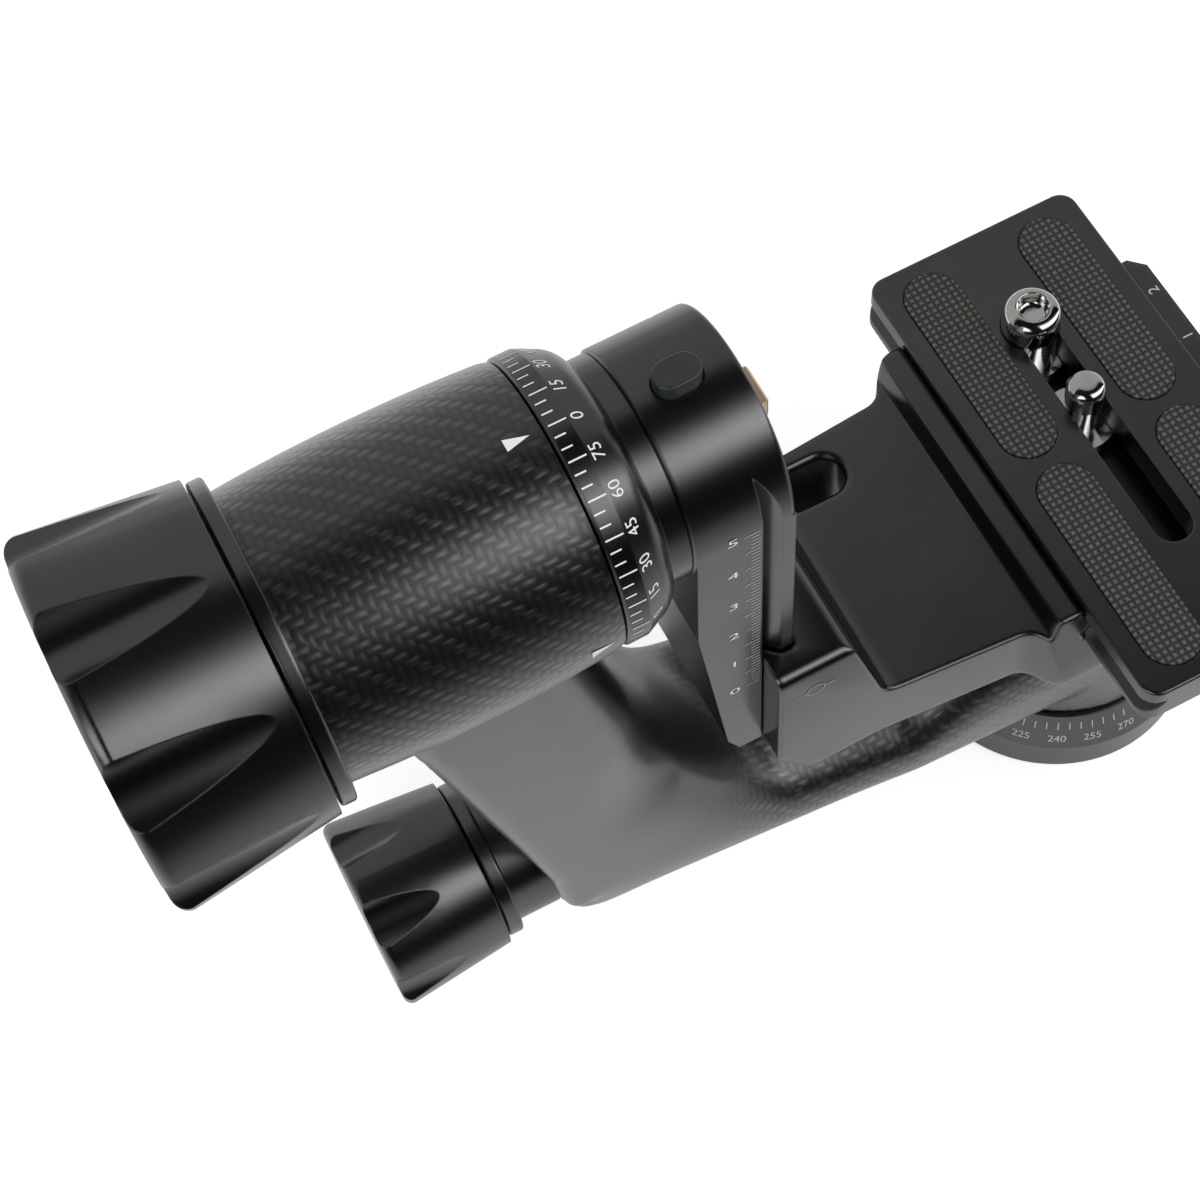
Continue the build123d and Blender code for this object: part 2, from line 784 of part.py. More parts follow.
# Pan bearings and housing inside the arm's end
lower_bearing_bottom = base_well_floor + axle_flange_height + base_screw_head_height + running_gap
upper_bearing_bottom = axle_top - seat_gap - pan_bearing_height
with BuildPart() as pan_housing:
    with BuildSketch(Plane.XY.offset(beam_bottom)):
        Circle(pan_housing_radius - shaft_gap)
        Circle(pan_housing_bore, mode=Mode.SUBTRACT)
    extrude(amount=pan_housing_top - beam_bottom)
    with BuildSketch(along_x(pan_axis_x - pan_housing_radius)):
        with Locations((0, beam_axis_height)):
            Rectangle(brake_shoe_width + shaft_gap * 2, brake_shoe_height + shaft_gap * 2)
    extrude(amount=pan_housing_radius, mode=Mode.SUBTRACT)
pan_housing.part.label = "pan_housing"
export_step(pan_housing.part, "parts/pan_housing.step")
with BuildPart() as pan_bearing_lower:
    add(ring_z(lower_bearing_bottom, pan_bearing_height, pan_housing_bore - shaft_gap, axle_radius + shaft_gap))
pan_bearing_lower.part.label = "pan_bearing_lower"
export_step(pan_bearing_lower.part, "parts/pan_bearing_lower.step")
with BuildPart() as pan_bearing_upper:
    add(ring_z(upper_bearing_bottom, pan_bearing_height, pan_housing_bore - shaft_gap, axle_radius + shaft_gap))
pan_bearing_upper.part.label = "pan_bearing_upper"
export_step(pan_bearing_upper.part, "parts/pan_bearing_upper.step")
with BuildPart() as pan_axle_nut:
    with BuildSketch(Plane.XY.offset(axle_top)):
        Circle(axle_head_radius)
    extrude(amount=axle_head_height)
pan_axle_nut.part.label = "pan_axle_nut"
export_step(pan_axle_nut.part, "parts/pan_axle_nut.step")

# Degree ring, which turns with the swing arm
with BuildPart() as degree_ring:
    with BuildSketch(Plane.XZ):
        with BuildLine():
            cone_end = (ring_cone_right, tilt_axis_height + ring_cone_radius)
            collar_start = (collar_left, tilt_axis_height + collar_radius)
            Polyline(
                (ring_left, tilt_axis_height + tilt_flange_radius + seat_gap),
                (ring_left, tilt_axis_height + ring_radius - ring_break),
                (ring_left + ring_break, tilt_axis_height + ring_radius),
                (ring_band_right, tilt_axis_height + ring_radius),
                cone_end,
            )
            RadiusArc(cone_end, collar_start, ring_radius - collar_radius)
            Polyline(
                collar_start,
                (hub_seam - seat_gap, tilt_axis_height + collar_radius),
                (hub_seam - seat_gap, tilt_axis_height + bearing_bore),
                (tilt_flange_right + seat_gap, tilt_axis_height + bearing_bore),
                (tilt_flange_right + seat_gap, tilt_axis_height + tilt_flange_radius + seat_gap),
                (ring_left, tilt_axis_height + tilt_flange_radius + seat_gap),
            )
        make_face()
    revolve(axis=Axis((0, 0, tilt_axis_height), (1, 0, 0)))
degree_ring.part.label = "degree_ring"
export_step(degree_ring.part, "parts/degree_ring.step")

# Swing arm: hub and tongue with its dovetail
hub_top = tilt_axis_height + hub_radius
with BuildPart() as swing_arm:
    with BuildSketch(along_x(hub_seam)):
        with Locations((0, tilt_axis_height)):
            Circle(hub_radius)
    extrude(amount=hub_right - hub_seam)
    chamfer(swing_arm.edges().filter_by(GeomType.CIRCLE).sort_by(Axis.X)[0], seam_depth)
    fillet(swing_arm.edges().filter_by(GeomType.CIRCLE).sort_by(Axis.X)[-1], hub_edge_round)
    with BuildSketch(Plane.XZ.offset(-hub_radius)):
        with BuildLine():
            Polyline(
                (hub_seam + seam_depth, tilt_axis_height),
                (hub_seam, tongue_taper_start),
                (tongue_foot_left, tongue_foot + tongue_foot_chamfer),
                (tongue_foot_left + tongue_end_chamfer, tongue_foot),
                (hub_right - tongue_end_chamfer, tongue_foot),
                (hub_right, tongue_foot + tongue_end_chamfer),
                (hub_right, tilt_axis_height),
                close=True,
            )
        make_face()
    extrude(amount=hub_radius * 2)
    # Dovetail grooves, which run out where the hub rounds away
    for side in (-1, 1):
        with BuildSketch(Plane.XY.offset(tongue_foot - overrun)):
            with BuildLine():
                Polyline(
                    (dovetail_left, side * (hub_radius + overrun)),
                    (dovetail_left, side * (hub_radius - dovetail_depth)),
                    (dovetail_right, side * hub_radius),
                    (dovetail_right + overrun, side * (hub_radius + overrun)),
                    close=True,
                )
            make_face()
        extrude(amount=hub_top - tongue_foot, mode=Mode.SUBTRACT)
    # Bore for the shaft's end, and the bolt that holds it
    with BuildSketch(along_x(hub_seam)):
        with Locations((0, tilt_axis_height)):
            Circle(bearing_bore)
    extrude(amount=hub_spigot_right - hub_seam, mode=Mode.SUBTRACT)
    with BuildSketch(along_x(hub_right)):
        with Locations((0, tilt_axis_height)):
            Circle(swing_bolt_radius + shaft_gap)
    extrude(amount=hub_seam - hub_right, mode=Mode.SUBTRACT)
    with BuildSketch(along_x(hub_right)):
        with Locations((0, tilt_axis_height)):
            Circle(swing_bolt_head_radius + seat_gap)
    extrude(amount=-swing_bolt_head_height, mode=Mode.SUBTRACT)
    # Pocket for the safety button, and the slot for the brass stop
    with BuildSketch(Plane.XY.offset(hub_top - button_depth)):
        with Locations((button_x, 0)):
            SlotOverall(button_length + running_gap, button_width + running_gap)
    extrude(amount=button_depth + overrun, mode=Mode.SUBTRACT)
    with BuildSketch(along_x(hub_right)):
        with Locations((stop_centre_y, tilt_axis_height + stop_centre_rise - stop_height / 2)):
            Rectangle(stop_width + shaft_gap * 2, stop_height + shaft_gap * 2)
    extrude(amount=stop_proud - stop_length - stop_travel - stop_room, mode=Mode.SUBTRACT)
swing_arm.part.label = "swing_arm"
export_step(swing_arm.part, "parts/swing_arm.step")

with BuildPart() as swing_bolt:
    add(tube_x(hub_right - swing_bolt_head_height, hub_right - seat_gap, swing_bolt_head_radius, 0, tilt_axis_height))
    add(
        tube_x(
            hub_spigot_right - swing_bolt_length + seat_gap,
            hub_right - swing_bolt_head_height,
            swing_bolt_radius,
            0,
            tilt_axis_height,
        )
    )
swing_bolt.part.label = "swing_bolt"
export_step(swing_bolt.part, "parts/swing_bolt.step")

button_bottom = hub_top - button_depth + button_spring_length
with BuildPart() as safety_button:
    with BuildSketch(Plane.XY.offset(button_bottom)):
        with Locations((button_x, 0)):
            SlotOverall(button_length, button_width)
    extrude(amount=hub_top + button_top_rise - button_bottom)
    fillet(safety_button.faces().sort_by(Axis.Z)[-1].edges(), button_round)
safety_button.part.label = "safety_button"
export_step(safety_button.part, "parts/safety_button.step")
with BuildPart() as button_spring:
    with BuildSketch(Plane.XY.offset(hub_top - button_depth)):
        with Locations((button_x, 0)):
            Circle(button_spring_radius)
            Circle(button_spring_radius - button_spring_wire, mode=Mode.SUBTRACT)
    extrude(amount=button_spring_length - button_travel)
button_spring.part.label = "button_spring"
export_step(button_spring.part, "parts/button_spring.step")
with BuildPart() as safety_stop:
    with BuildSketch(along_x(hub_right + stop_proud)):
        with Locations((stop_centre_y, tilt_axis_height + stop_centre_rise - stop_height / 2)):
            Rectangle(stop_width, stop_height)
    extrude(amount=-stop_length)
    chamfer(safety_stop.faces().sort_by(Axis.X)[-1].edges(), running_gap)
safety_stop.part.label = "safety_stop"
export_step(safety_stop.part, "parts/safety_stop.step")

# L-shaped bracket: block on the dovetail, neck, and the clamp's fixed half
half_plate = plate_width / 2
plate_length = head_width + plate_overhang * 2
half_length = plate_length / 2
big_screw_y = plate_centre_y + half_length - big_screw_inset
small_screw_y = big_screw_y - screw_spacing
plate_slot_front = plate_centre_y - half_length + plate_slot_inset
slot_back = neck_start_width / 2 - slot_rim
slot_front = slot_back - slot_width
half_neck = plate_neck_width / 2
foot_slope_top = plate_bottom + plate_foot + (half_plate - half_neck)
slab_bottom = plate_top - plate_slab
jaw_inside = hub_radius + running_gap
hook_tip_y = hub_radius - dovetail_depth + hook_shift + clamp_gap
hook_foot_x = dovetail_right + running_gap - hook_shift
jaw_plate_right = height_screw_x + height_jaw_half_width
with BuildPart() as l_bracket:
    with BuildSketch(Plane.XZ.offset(-head_width)):
        with BuildLine():
            Polyline(
                (dovetail_left + clamp_gap, block_top),
                (block_top_right, block_top),
                (slope_foot, bracket_floor),
                (fixed_jaw_left, bracket_floor),
                (fixed_jaw_left + fixed_jaw_slope, jaw_top),
                (-half_plate - clamp_gap, jaw_top),
                (-half_plate - clamp_gap, slab_bottom - clamp_gap),
                (-half_neck - clamp_gap, slab_bottom - clamp_gap),
                (-half_neck - clamp_gap, foot_slope_top),
                (-half_plate - clamp_gap, plate_bottom + plate_foot),
                (-half_plate - clamp_gap, channel_floor),
                (head_right, channel_floor),
                (head_right, bracket_bottom),
                (corner_cut_right, bracket_bottom),
                (bracket_left, corner_cut_knee),
                (dovetail_left + clamp_gap, corner_cut_top),
                close=True,
            )
        make_face()
        fillet([v for v in vertices() if abs(v.X - slope_foot) < seat_gap], slope_foot_round)
    extrude(amount=head_width * 2)
    with BuildSketch(Plane.XY.offset(bracket_bottom)):
        with BuildLine():
            Polyline(
                (dovetail_left + clamp_gap, -block_front),
                (slope_foot, -neck_start_width / 2),
                (neck_end_x, -neck_end_width / 2),
                (head_left + neck_corner_round / 2, -head_width / 2),
                (head_right, -head_width / 2),
                (head_right, head_width / 2),
                (head_left + neck_corner_round / 2, head_width / 2),
                (neck_end_x, neck_end_width / 2),
                (slope_foot, neck_start_width / 2),
                (dovetail_left + clamp_gap, block_front),
                close=True,
            )
        make_face()
        fillet([v for v in vertices() if abs(v.X - neck_end_x) < seat_gap], neck_corner_round)
        fillet(
            [v for v in vertices() if abs(v.X - head_left - neck_corner_round / 2) < seat_gap], head_corner_round
        )
    extrude(amount=block_top - bracket_bottom, mode=Mode.INTERSECT)
    # Broad rounds under the long sides, and broken edges on the block's top
    under = l_bracket.edges().filter_by(lambda e: abs(e.center().Z - bracket_bottom) < seat_gap)
    fillet(
        [e for e in under if head_right - seat_gap > e.center().X > corner_cut_right + seat_gap],
        bracket_under_round,
    )
    chamfer(
        l_bracket.edges().filter_by(
            lambda e: abs(e.center().Z - block_top) < seat_gap and e.center().X > dovetail_left + running_gap
        ),
        block_top_break,
    )
    # Channel for the tongue: square to its sides, with the fixed hook left on the front
    with BuildSketch(Plane.XY.offset(bracket_bottom)):
        with BuildLine():
            Polyline(
                (dovetail_left - overrun, -hook_tip_y),
                (dovetail_left + clamp_gap, -hook_tip_y),
                (hook_foot_x, -jaw_inside),
                (bracket_left, -jaw_inside),
                (bracket_left, jaw_inside),
                (dovetail_left - overrun, jaw_inside),
                close=True,
            )
        make_face()
    extrude(amount=block_top - bracket_bottom, mode=Mode.SUBTRACT)
    # Rebate for the moving jaw on the back
    with BuildSketch(Plane.XY.offset(bracket_bottom)):
        with BuildLine():
            Polyline(
                (dovetail_left, jaw_inside - running_gap),
                (jaw_plate_right + running_gap, jaw_inside - running_gap),
                (jaw_plate_right + running_gap, head_width),
                (dovetail_left, head_width),
                close=True,
            )
        make_face()
    extrude(amount=block_top - bracket_bottom, mode=Mode.SUBTRACT)
    # Room behind the block for the height clamp's washer and knob
    with BuildSketch(Plane.XZ.offset(-block_front)):
        with Locations((height_screw_x, height_screw_height)):
            Circle(height_knob_radius + running_gap)
    extrude(amount=-head_width, mode=Mode.SUBTRACT)
    with BuildSketch(Plane.XZ.offset(-hub_radius)):
        with Locations((height_screw_x, height_screw_height)):
            Circle(height_screw_radius + shaft_gap)
        with Locations(
            (height_screw_x, height_screw_height + height_pin_rise),
            (height_screw_x, height_screw_height - height_pin_rise),
        ):
            Circle(height_pin_radius + shaft_gap)
    extrude(amount=height_screw_depth + seat_gap, mode=Mode.SUBTRACT)
    # Slot through the neck
    with BuildSketch(Plane.XY.offset(bracket_bottom)):
        with Locations(((slot_left + slot_right) / 2, (slot_front + slot_back) / 2)):
            SlotOverall(slot_right - slot_left, slot_back - slot_front)
    extrude(amount=block_top - bracket_bottom, mode=Mode.SUBTRACT)
    chamfer(
        l_bracket.edges().filter_by(
            lambda e: abs(e.center().Z - bracket_floor) < seat_gap and slot_left < e.center().X < slot_right
            and slot_front - seat_gap < e.center().Y < slot_back + seat_gap
        ),
        slot_break,
    )
    # Lightening pocket under the neck
    with BuildSketch(Plane.XY.offset(bracket_bottom)):
        with Locations(((pocket_left + pocket_right) / 2, (slot_front - neck_start_width / 2) / 2)):
            RectangleRounded(
                pocket_right - pocket_left,
                slot_front + neck_start_width / 2 - pocket_wall * 2,
                neck_corner_round,
            )
    extrude(amount=pocket_roof - bracket_bottom, mode=Mode.SUBTRACT)
    # Bores for the clamp's screw and guide pins
    with BuildSketch(along_x(head_right)):
        with Locations((0, clamp_screw_height)):
            Circle(clamp_screw_radius + shaft_gap)
        with Locations((clamp_pin_spread / 2, clamp_screw_height), (-clamp_pin_spread / 2, clamp_screw_height)):
            Circle(clamp_pin_radius + shaft_gap)
    extrude(amount=-clamp_screw_depth - seat_gap, mode=Mode.SUBTRACT)
    with BuildSketch(along_x(head_right)):
        with Locations((clamp_pin_spread / 2, clamp_screw_height), (-clamp_pin_spread / 2, clamp_screw_height)):
            Circle(clamp_spring_radius + seat_gap)
    extrude(amount=-clamp_spring_length, mode=Mode.SUBTRACT)
l_bracket.part.label = "l_bracket"
export_step(l_bracket.part, "parts/l_bracket.step")

# Height clamp
jaw_outside = block_front
with BuildPart() as height_jaw:
    with BuildSketch(Plane.XY.offset(height_screw_height - height_jaw_below)):
        with BuildLine():
            Polyline(
                (dovetail_left + clamp_gap, jaw_outside),
                (dovetail_left + clamp_gap, hook_tip_y),
                (hook_foot_x, jaw_inside),
                (jaw_plate_right, jaw_inside),
                (jaw_plate_right, jaw_outside),
                close=True,
            )
        make_face()
    extrude(amount=height_jaw_above + height_jaw_below)
    with BuildSketch(Plane.XZ.offset(-jaw_outside - overrun)):
        with Locations((height_screw_x, height_screw_height)):
            Circle(height_screw_radius + shaft_gap)
        with Locations(
            (height_screw_x, height_screw_height + height_pin_rise),
            (height_screw_x, height_screw_height - height_pin_rise),
        ):
            Circle(height_pin_radius + shaft_gap)
    extrude(amount=jaw_outside, mode=Mode.SUBTRACT)
height_jaw.part.label = "height_jaw"
export_step(height_jaw.part, "parts/height_jaw.step")

washer_front = jaw_outside + seat_gap
with BuildPart() as height_washer:
    with BuildSketch(Plane.XZ.offset(-washer_front)):
        with Locations((height_screw_x, height_screw_height)):
            Circle(height_washer_radius)
            Circle(height_screw_radius + shaft_gap, mode=Mode.SUBTRACT)
    extrude(amount=-height_washer_thickness)
height_washer.part.label = "height_washer"
export_step(height_washer.part, "parts/height_washer.step")

height_knob_front = washer_front + height_washer_thickness + seat_gap
with BuildPart() as height_clamp_knob:
    add(
        fluted_knob(
            height_knob_length,
            height_knob_radius,
            height_knob_back_radius,
            seam_depth * 2,
            height_knob_flutes,
            tilt_knob_flute_turn,
            height_knob_length * 3 / 4,
            height_flute_depth,
            height_flute_width,
        )
        .rotate(Axis.X, -90)
        .moved(Location((height_screw_x, height_knob_front, height_screw_height)))
    )
    with BuildSketch(Plane.XZ.offset(-height_knob_front)):
        with Locations((height_screw_x, height_screw_height)):
            Circle(height_screw_radius)
    extrude(amount=-height_knob_length / 2, mode=Mode.SUBTRACT)
height_clamp_knob.part.label = "height_clamp_knob"
export_step(height_clamp_knob.part, "parts/height_clamp_knob.step")

with BuildPart() as height_screw:
    with BuildSketch(Plane.XZ.offset(-height_knob_front - height_knob_length / 2)):
        with Locations((height_screw_x, height_screw_height)):
            Circle(height_screw_radius)
    extrude(amount=height_knob_front + height_knob_length / 2 - hub_radius + height_screw_depth)
height_screw.part.label = "height_screw"
export_step(height_screw.part, "parts/height_screw.step")

with BuildPart() as height_guide_pins:
    with BuildSketch(Plane.XZ.offset(-jaw_outside + seat_gap)):
        with Locations(
            (height_screw_x, height_screw_height + height_pin_rise),
            (height_screw_x, height_screw_height - height_pin_rise),
        ):
            Circle(height_pin_radius)
    extrude(amount=height_pin_depth + jaw_outside - jaw_inside)
height_guide_pins.part.label = "height_guide_pins"
export_step(height_guide_pins.part, "parts/height_guide_pins.step")

# Quick release clamp
with BuildPart() as clamp_jaw:
    with BuildSketch(Plane.XZ.offset(-clamp_jaw_width / 2)):
        with BuildLine():
            Polyline(
                (clamp_jaw_left + clamp_gap, clamp_jaw_bottom),
                (clamp_jaw_right, clamp_jaw_bottom),
                (clamp_jaw_right, jaw_top),
                (half_plate + clamp_gap, jaw_top),
                (half_plate + clamp_gap, slab_bottom - clamp_gap),
                (half_neck + clamp_gap, slab_bottom - clamp_gap),
                (half_neck + clamp_gap, foot_slope_top),
                (half_plate + clamp_gap, plate_bottom + plate_foot),
                (half_plate + clamp_gap, channel_floor),
                (clamp_jaw_left + clamp_gap, channel_floor),
                close=True,
            )
        make_face()
    extrude(amount=clamp_jaw_width)
    chamfer(
        [e for e in clamp_jaw.edges().filter_by(Axis.Z) if abs(e.center().X - clamp_jaw_right) < seat_gap],
        clamp_jaw_corner,
    )
    with BuildSketch(along_x(clamp_jaw_right)):
        with Locations((0, clamp_screw_height)):
            Circle(clamp_screw_radius + shaft_gap)
        with Locations((clamp_pin_spread / 2, clamp_screw_height), (-clamp_pin_spread / 2, clamp_screw_height)):
            Circle(clamp_pin_radius + shaft_gap)
    extrude(amount=clamp_jaw_left - clamp_jaw_right, mode=Mode.SUBTRACT)
clamp_jaw.part.label = "clamp_jaw"
export_step(clamp_jaw.part, "parts/clamp_jaw.step")

clamp_washer_left = clamp_jaw_right + seat_gap
with BuildPart() as clamp_washer:
    add(
        tube_x(
            clamp_washer_left,
            clamp_knob_left - seat_gap,
            clamp_washer_radius,
            clamp_screw_radius + shaft_gap,
            clamp_screw_height,
        )
    )
clamp_washer.part.label = "clamp_washer"
export_step(clamp_washer.part, "parts/clamp_washer.step")
with BuildPart() as clamp_knob:
    add(
        fluted_knob(
            clamp_knob_length,
            clamp_knob_radius,
            clamp_knob_inner_radius,
            seam_depth * 2,
            clamp_knob_flutes,
            tilt_knob_flute_turn,
            clamp_knob_length * 3 / 4,
            clamp_flute_depth,
            clamp_flute_width,
        )
        .rotate(Axis.Y, 90)
        .moved(Location((clamp_knob_left, 0, clamp_screw_height)))
    )
    with BuildSketch(along_x(clamp_knob_left)):
        with Locations((0, clamp_screw_height)):
            Circle(clamp_screw_radius)
    extrude(amount=clamp_knob_length / 2, mode=Mode.SUBTRACT)
clamp_knob.part.label = "clamp_knob"
export_step(clamp_knob.part, "parts/clamp_knob.step")
with BuildPart() as clamp_screw:
    add(
        tube_x(
            head_right - clamp_screw_depth,
            clamp_knob_left + clamp_knob_length / 2,
            clamp_screw_radius,
            0,
            clamp_screw_height,
        )
    )
clamp_screw.part.label = "clamp_screw"
export_step(clamp_screw.part, "parts/clamp_screw.step")
with BuildPart() as clamp_guide_pins:
    for side in (-1, 1):
        add(
            tube_x(
                head_right - clamp_pin_depth,
                clamp_jaw_right - seat_gap,
                clamp_pin_radius,
                0,
                clamp_screw_height,
                side * clamp_pin_spread / 2,
            )
        )
clamp_guide_pins.part.label = "clamp_guide_pins"
export_step(clamp_guide_pins.part, "parts/clamp_guide_pins.step")
with BuildPart() as clamp_springs:
    for side in (-1, 1):
        add(
            tube_x(
                head_right - clamp_spring_length,
                clamp_jaw_left + seat_gap,
                clamp_spring_radius,
                clamp_pin_radius + shaft_gap * 2,
                clamp_screw_height,
                side * clamp_pin_spread / 2,
            )
        )
clamp_springs.part.label = "clamp_springs"
export_step(clamp_springs.part, "parts/clamp_springs.step")

# Camera plate
with BuildPart() as camera_plate:
    with BuildSketch(Plane.XY.offset(slab_bottom)):
        with Locations((0, plate_centre_y)):
            RectangleRounded(plate_width, plate_length, plate_corner_round)
    extrude(amount=plate_slab)
    fillet(camera_plate.faces().sort_by(Axis.Z)[-1].edges(), plate_edge_round)
    with BuildSketch(Plane.XZ.offset(-half_length - plate_centre_y)):
        with BuildLine():
            Polyline(
                (-half_plate, plate_bottom),
                (-half_plate, plate_bottom + plate_foot),
                (-half_neck, foot_slope_top),
                (-half_neck, slab_bottom),
                (half_neck, slab_bottom),
                (half_neck, foot_slope_top),
                (half_plate, plate_bottom + plate_foot),
                (half_plate, plate_bottom),
                close=True,
            )
        make_face()
    extrude(amount=plate_length)
    with BuildSketch(Plane.XY.offset(plate_bottom)):
        with Locations((0, plate_centre_y)):
            RectangleRounded(plate_width, plate_length, plate_corner_round)
    extrude(amount=plate_top - plate_bottom, mode=Mode.INTERSECT)
    # Screw slot, the large screw's hole and the pocket for the screw heads
    slot_start = plate_slot_front + plate_slot_width / 2
    with BuildSketch(Plane.XY.offset(plate_bottom)):
        with Locations((0, (slot_start + big_screw_y) / 2)):
            Rectangle(plate_slot_width, big_screw_y - slot_start)
        with Locations((0, slot_start)):
            Circle(plate_slot_width / 2)
        with Locations((0, big_screw_y)):
            Circle(big_screw_radius + shaft_gap)
    extrude(amount=plate_top - plate_bottom, mode=Mode.SUBTRACT)
    with BuildSketch(Plane.XY.offset(plate_bottom)):
        with Locations((0, plate_centre_y)):
            RectangleRounded(
                screw_pocket_width,
                plate_length - screw_pocket_end_margin * 2,
                screw_pocket_width / 2 - seat_gap,
            )
    extrude(amount=screw_pocket_height, mode=Mode.SUBTRACT)
    # Recesses for the four grip pads
    with BuildSketch(Plane.XY.offset(plate_top - pad_sink)):
        for side in (-1, 1):
            for end in (-1, 1):
                with Locations((side * pad_offset_x, plate_centre_y + end * (pad_gap + pad_length) / 2)):
                    SlotOverall(pad_length + pad_seat_gap * 2, pad_width + pad_seat_gap * 2, rotation=90)
    extrude(amount=pad_sink + overrun, mode=Mode.SUBTRACT)
camera_plate.part.label = "camera_plate"
export_step(camera_plate.part, "parts/camera_plate.step")

with BuildPart() as grip_pads:
    with BuildSketch(Plane.XY.offset(plate_top - pad_sink)):
        for side in (-1, 1):
            for end in (-1, 1):
                with Locations((side * pad_offset_x, plate_centre_y + end * (pad_gap + pad_length) / 2)):
                    SlotOverall(pad_length, pad_width, rotation=90)
    extrude(amount=pad_sink + pad_proud)
grip_pads.part.label = "grip_pads"
export_step(grip_pads.part, "parts/grip_pads.step")


def camera_screw(y, radius, head_radius, rise):
    # A captive camera screw: head in the plate's pocket, relieved neck in the plate, thread above the pads.
    head_bottom = plate_bottom + screw_pocket_height - running_gap - screw_head_height
    with BuildPart() as screw:
        with BuildSketch(Plane.XY.offset(head_bottom)):
            with Locations((0, y)):
                Circle(head_radius)
        extrude(amount=screw_head_height)
        with BuildSketch(Plane.XY.offset(head_bottom + screw_head_height)):
            with Locations((0, y)):
                Circle(radius - screw_neck_relief)
        extrude(amount=plate_top + screw_thread_start - head_bottom - screw_head_height)
        with BuildSketch(Plane.XY.offset(plate_top + screw_thread_start)):
            with Locations((0, y)):
                Circle(radius)
        extrude(amount=rise - screw_thread_start)
        fillet(screw.edges().sort_by(Axis.Z)[-1], screw_tip_round)
        with BuildSketch(Plane.XY.offset(head_bottom)):
            with Locations((0, y)):
                Rectangle(head_radius * 2 + overrun, screw_slot_width)
        extrude(amount=screw_slot_depth, mode=Mode.SUBTRACT)
    return screw.part


with BuildPart() as camera_screw_small:
    add(camera_screw(small_screw_y, small_screw_radius, small_screw_head_radius, small_screw_rise))
camera_screw_small.part.label = "camera_screw_small"
export_step(camera_screw_small.part, "parts/camera_screw_small.step")
with BuildPart() as camera_screw_large:
    add(camera_screw(big_screw_y, big_screw_radius, big_screw_head_radius, big_screw_rise))
    with BuildSketch(Plane.XY.offset(plate_top + big_screw_rise)):
        with Locations((0, big_screw_y)):
            Circle(big_screw_cup_radius)
    extrude(amount=-big_screw_cup_depth, mode=Mode.SUBTRACT)
camera_screw_large.part.label = "camera_screw_large"
export_step(camera_screw_large.part, "parts/camera_screw_large.step")

with BuildPart() as plate_stop_pins:
    with BuildSketch(Plane.XY.offset(plate_bottom - pin_length / 2)):
        for end in (-1, 1):
            with Locations((pin_spread / 2, plate_centre_y + end * (half_length - pin_inset))):
                Circle(pin_radius)
    extrude(amount=pin_length / 2)
plate_stop_pins.part.label = "plate_stop_pins"
export_step(plate_stop_pins.part, "parts/plate_stop_pins.step")
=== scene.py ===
import bmesh
import bpy
import json
import math
import numpy as np
from mathutils import Matrix, Vector


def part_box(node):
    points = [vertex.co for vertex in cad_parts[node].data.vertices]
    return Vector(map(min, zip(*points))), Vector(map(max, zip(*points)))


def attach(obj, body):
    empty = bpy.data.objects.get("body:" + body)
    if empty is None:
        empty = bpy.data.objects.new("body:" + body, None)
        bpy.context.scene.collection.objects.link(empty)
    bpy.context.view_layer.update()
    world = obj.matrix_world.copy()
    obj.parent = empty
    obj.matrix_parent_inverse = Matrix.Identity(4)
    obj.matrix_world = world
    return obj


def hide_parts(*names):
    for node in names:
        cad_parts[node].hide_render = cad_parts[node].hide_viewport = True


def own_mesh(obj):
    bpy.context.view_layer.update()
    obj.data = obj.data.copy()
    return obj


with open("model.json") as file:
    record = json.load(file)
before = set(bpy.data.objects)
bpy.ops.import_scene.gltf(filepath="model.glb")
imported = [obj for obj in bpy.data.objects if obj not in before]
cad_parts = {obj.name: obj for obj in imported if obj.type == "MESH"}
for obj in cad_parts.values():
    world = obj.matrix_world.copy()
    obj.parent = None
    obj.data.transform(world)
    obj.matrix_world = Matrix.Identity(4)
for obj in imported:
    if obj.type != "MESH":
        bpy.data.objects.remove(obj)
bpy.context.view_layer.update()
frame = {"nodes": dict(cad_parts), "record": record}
nodes = frame["nodes"]
scene = bpy.context.scene

# Lengths and places are in millimetres where no comment says otherwise, and MM brings them
# to metres
MM = 0.001
TILT_Z = 146.0

# Camera at the photograph's angle. It sees things between two distances in metres.
LENS, SENSOR = 74.87, 36.0
SHIFT_X, SHIFT_Y = 0.1351, -0.0103
CLIP_START, CLIP_END = 0.01, 50.0
CAMERA_PLACE = Vector((-146.166, -148.407, 445.845)) * MM
CAMERA_RIGHT = Vector((0.8942168, -0.4332964, -0.1123857))
CAMERA_UP = Vector((0.4369945, 0.7905877, 0.4289602))
CAMERA_BACK = Vector((-0.0970162, -0.4326954, 0.8963050))
cam_data = bpy.data.cameras.new("camera")
cam_data.lens = LENS
cam_data.sensor_width = SENSOR
cam_data.shift_x = SHIFT_X
cam_data.shift_y = SHIFT_Y
cam_data.clip_start = CLIP_START
cam_data.clip_end = CLIP_END
cam = bpy.data.objects.new("camera", cam_data)
scene.collection.objects.link(cam)
axes = Matrix((CAMERA_RIGHT, CAMERA_UP, CAMERA_BACK)).transposed()
cam.matrix_world = Matrix.Translation(CAMERA_PLACE) @ axes.to_4x4()
scene.camera = cam
scene.view_settings.view_transform = "Standard"


# Node helpers
def new_material(name):
    mat = bpy.data.materials.new(name)
    mat.use_nodes = True
    return mat, mat.node_tree, mat.node_tree.nodes["Principled BSDF"]


def node(tree, kind, **values):
    n = tree.nodes.new(kind)
    for key, value in values.items():
        setattr(n, key, value)
    return n


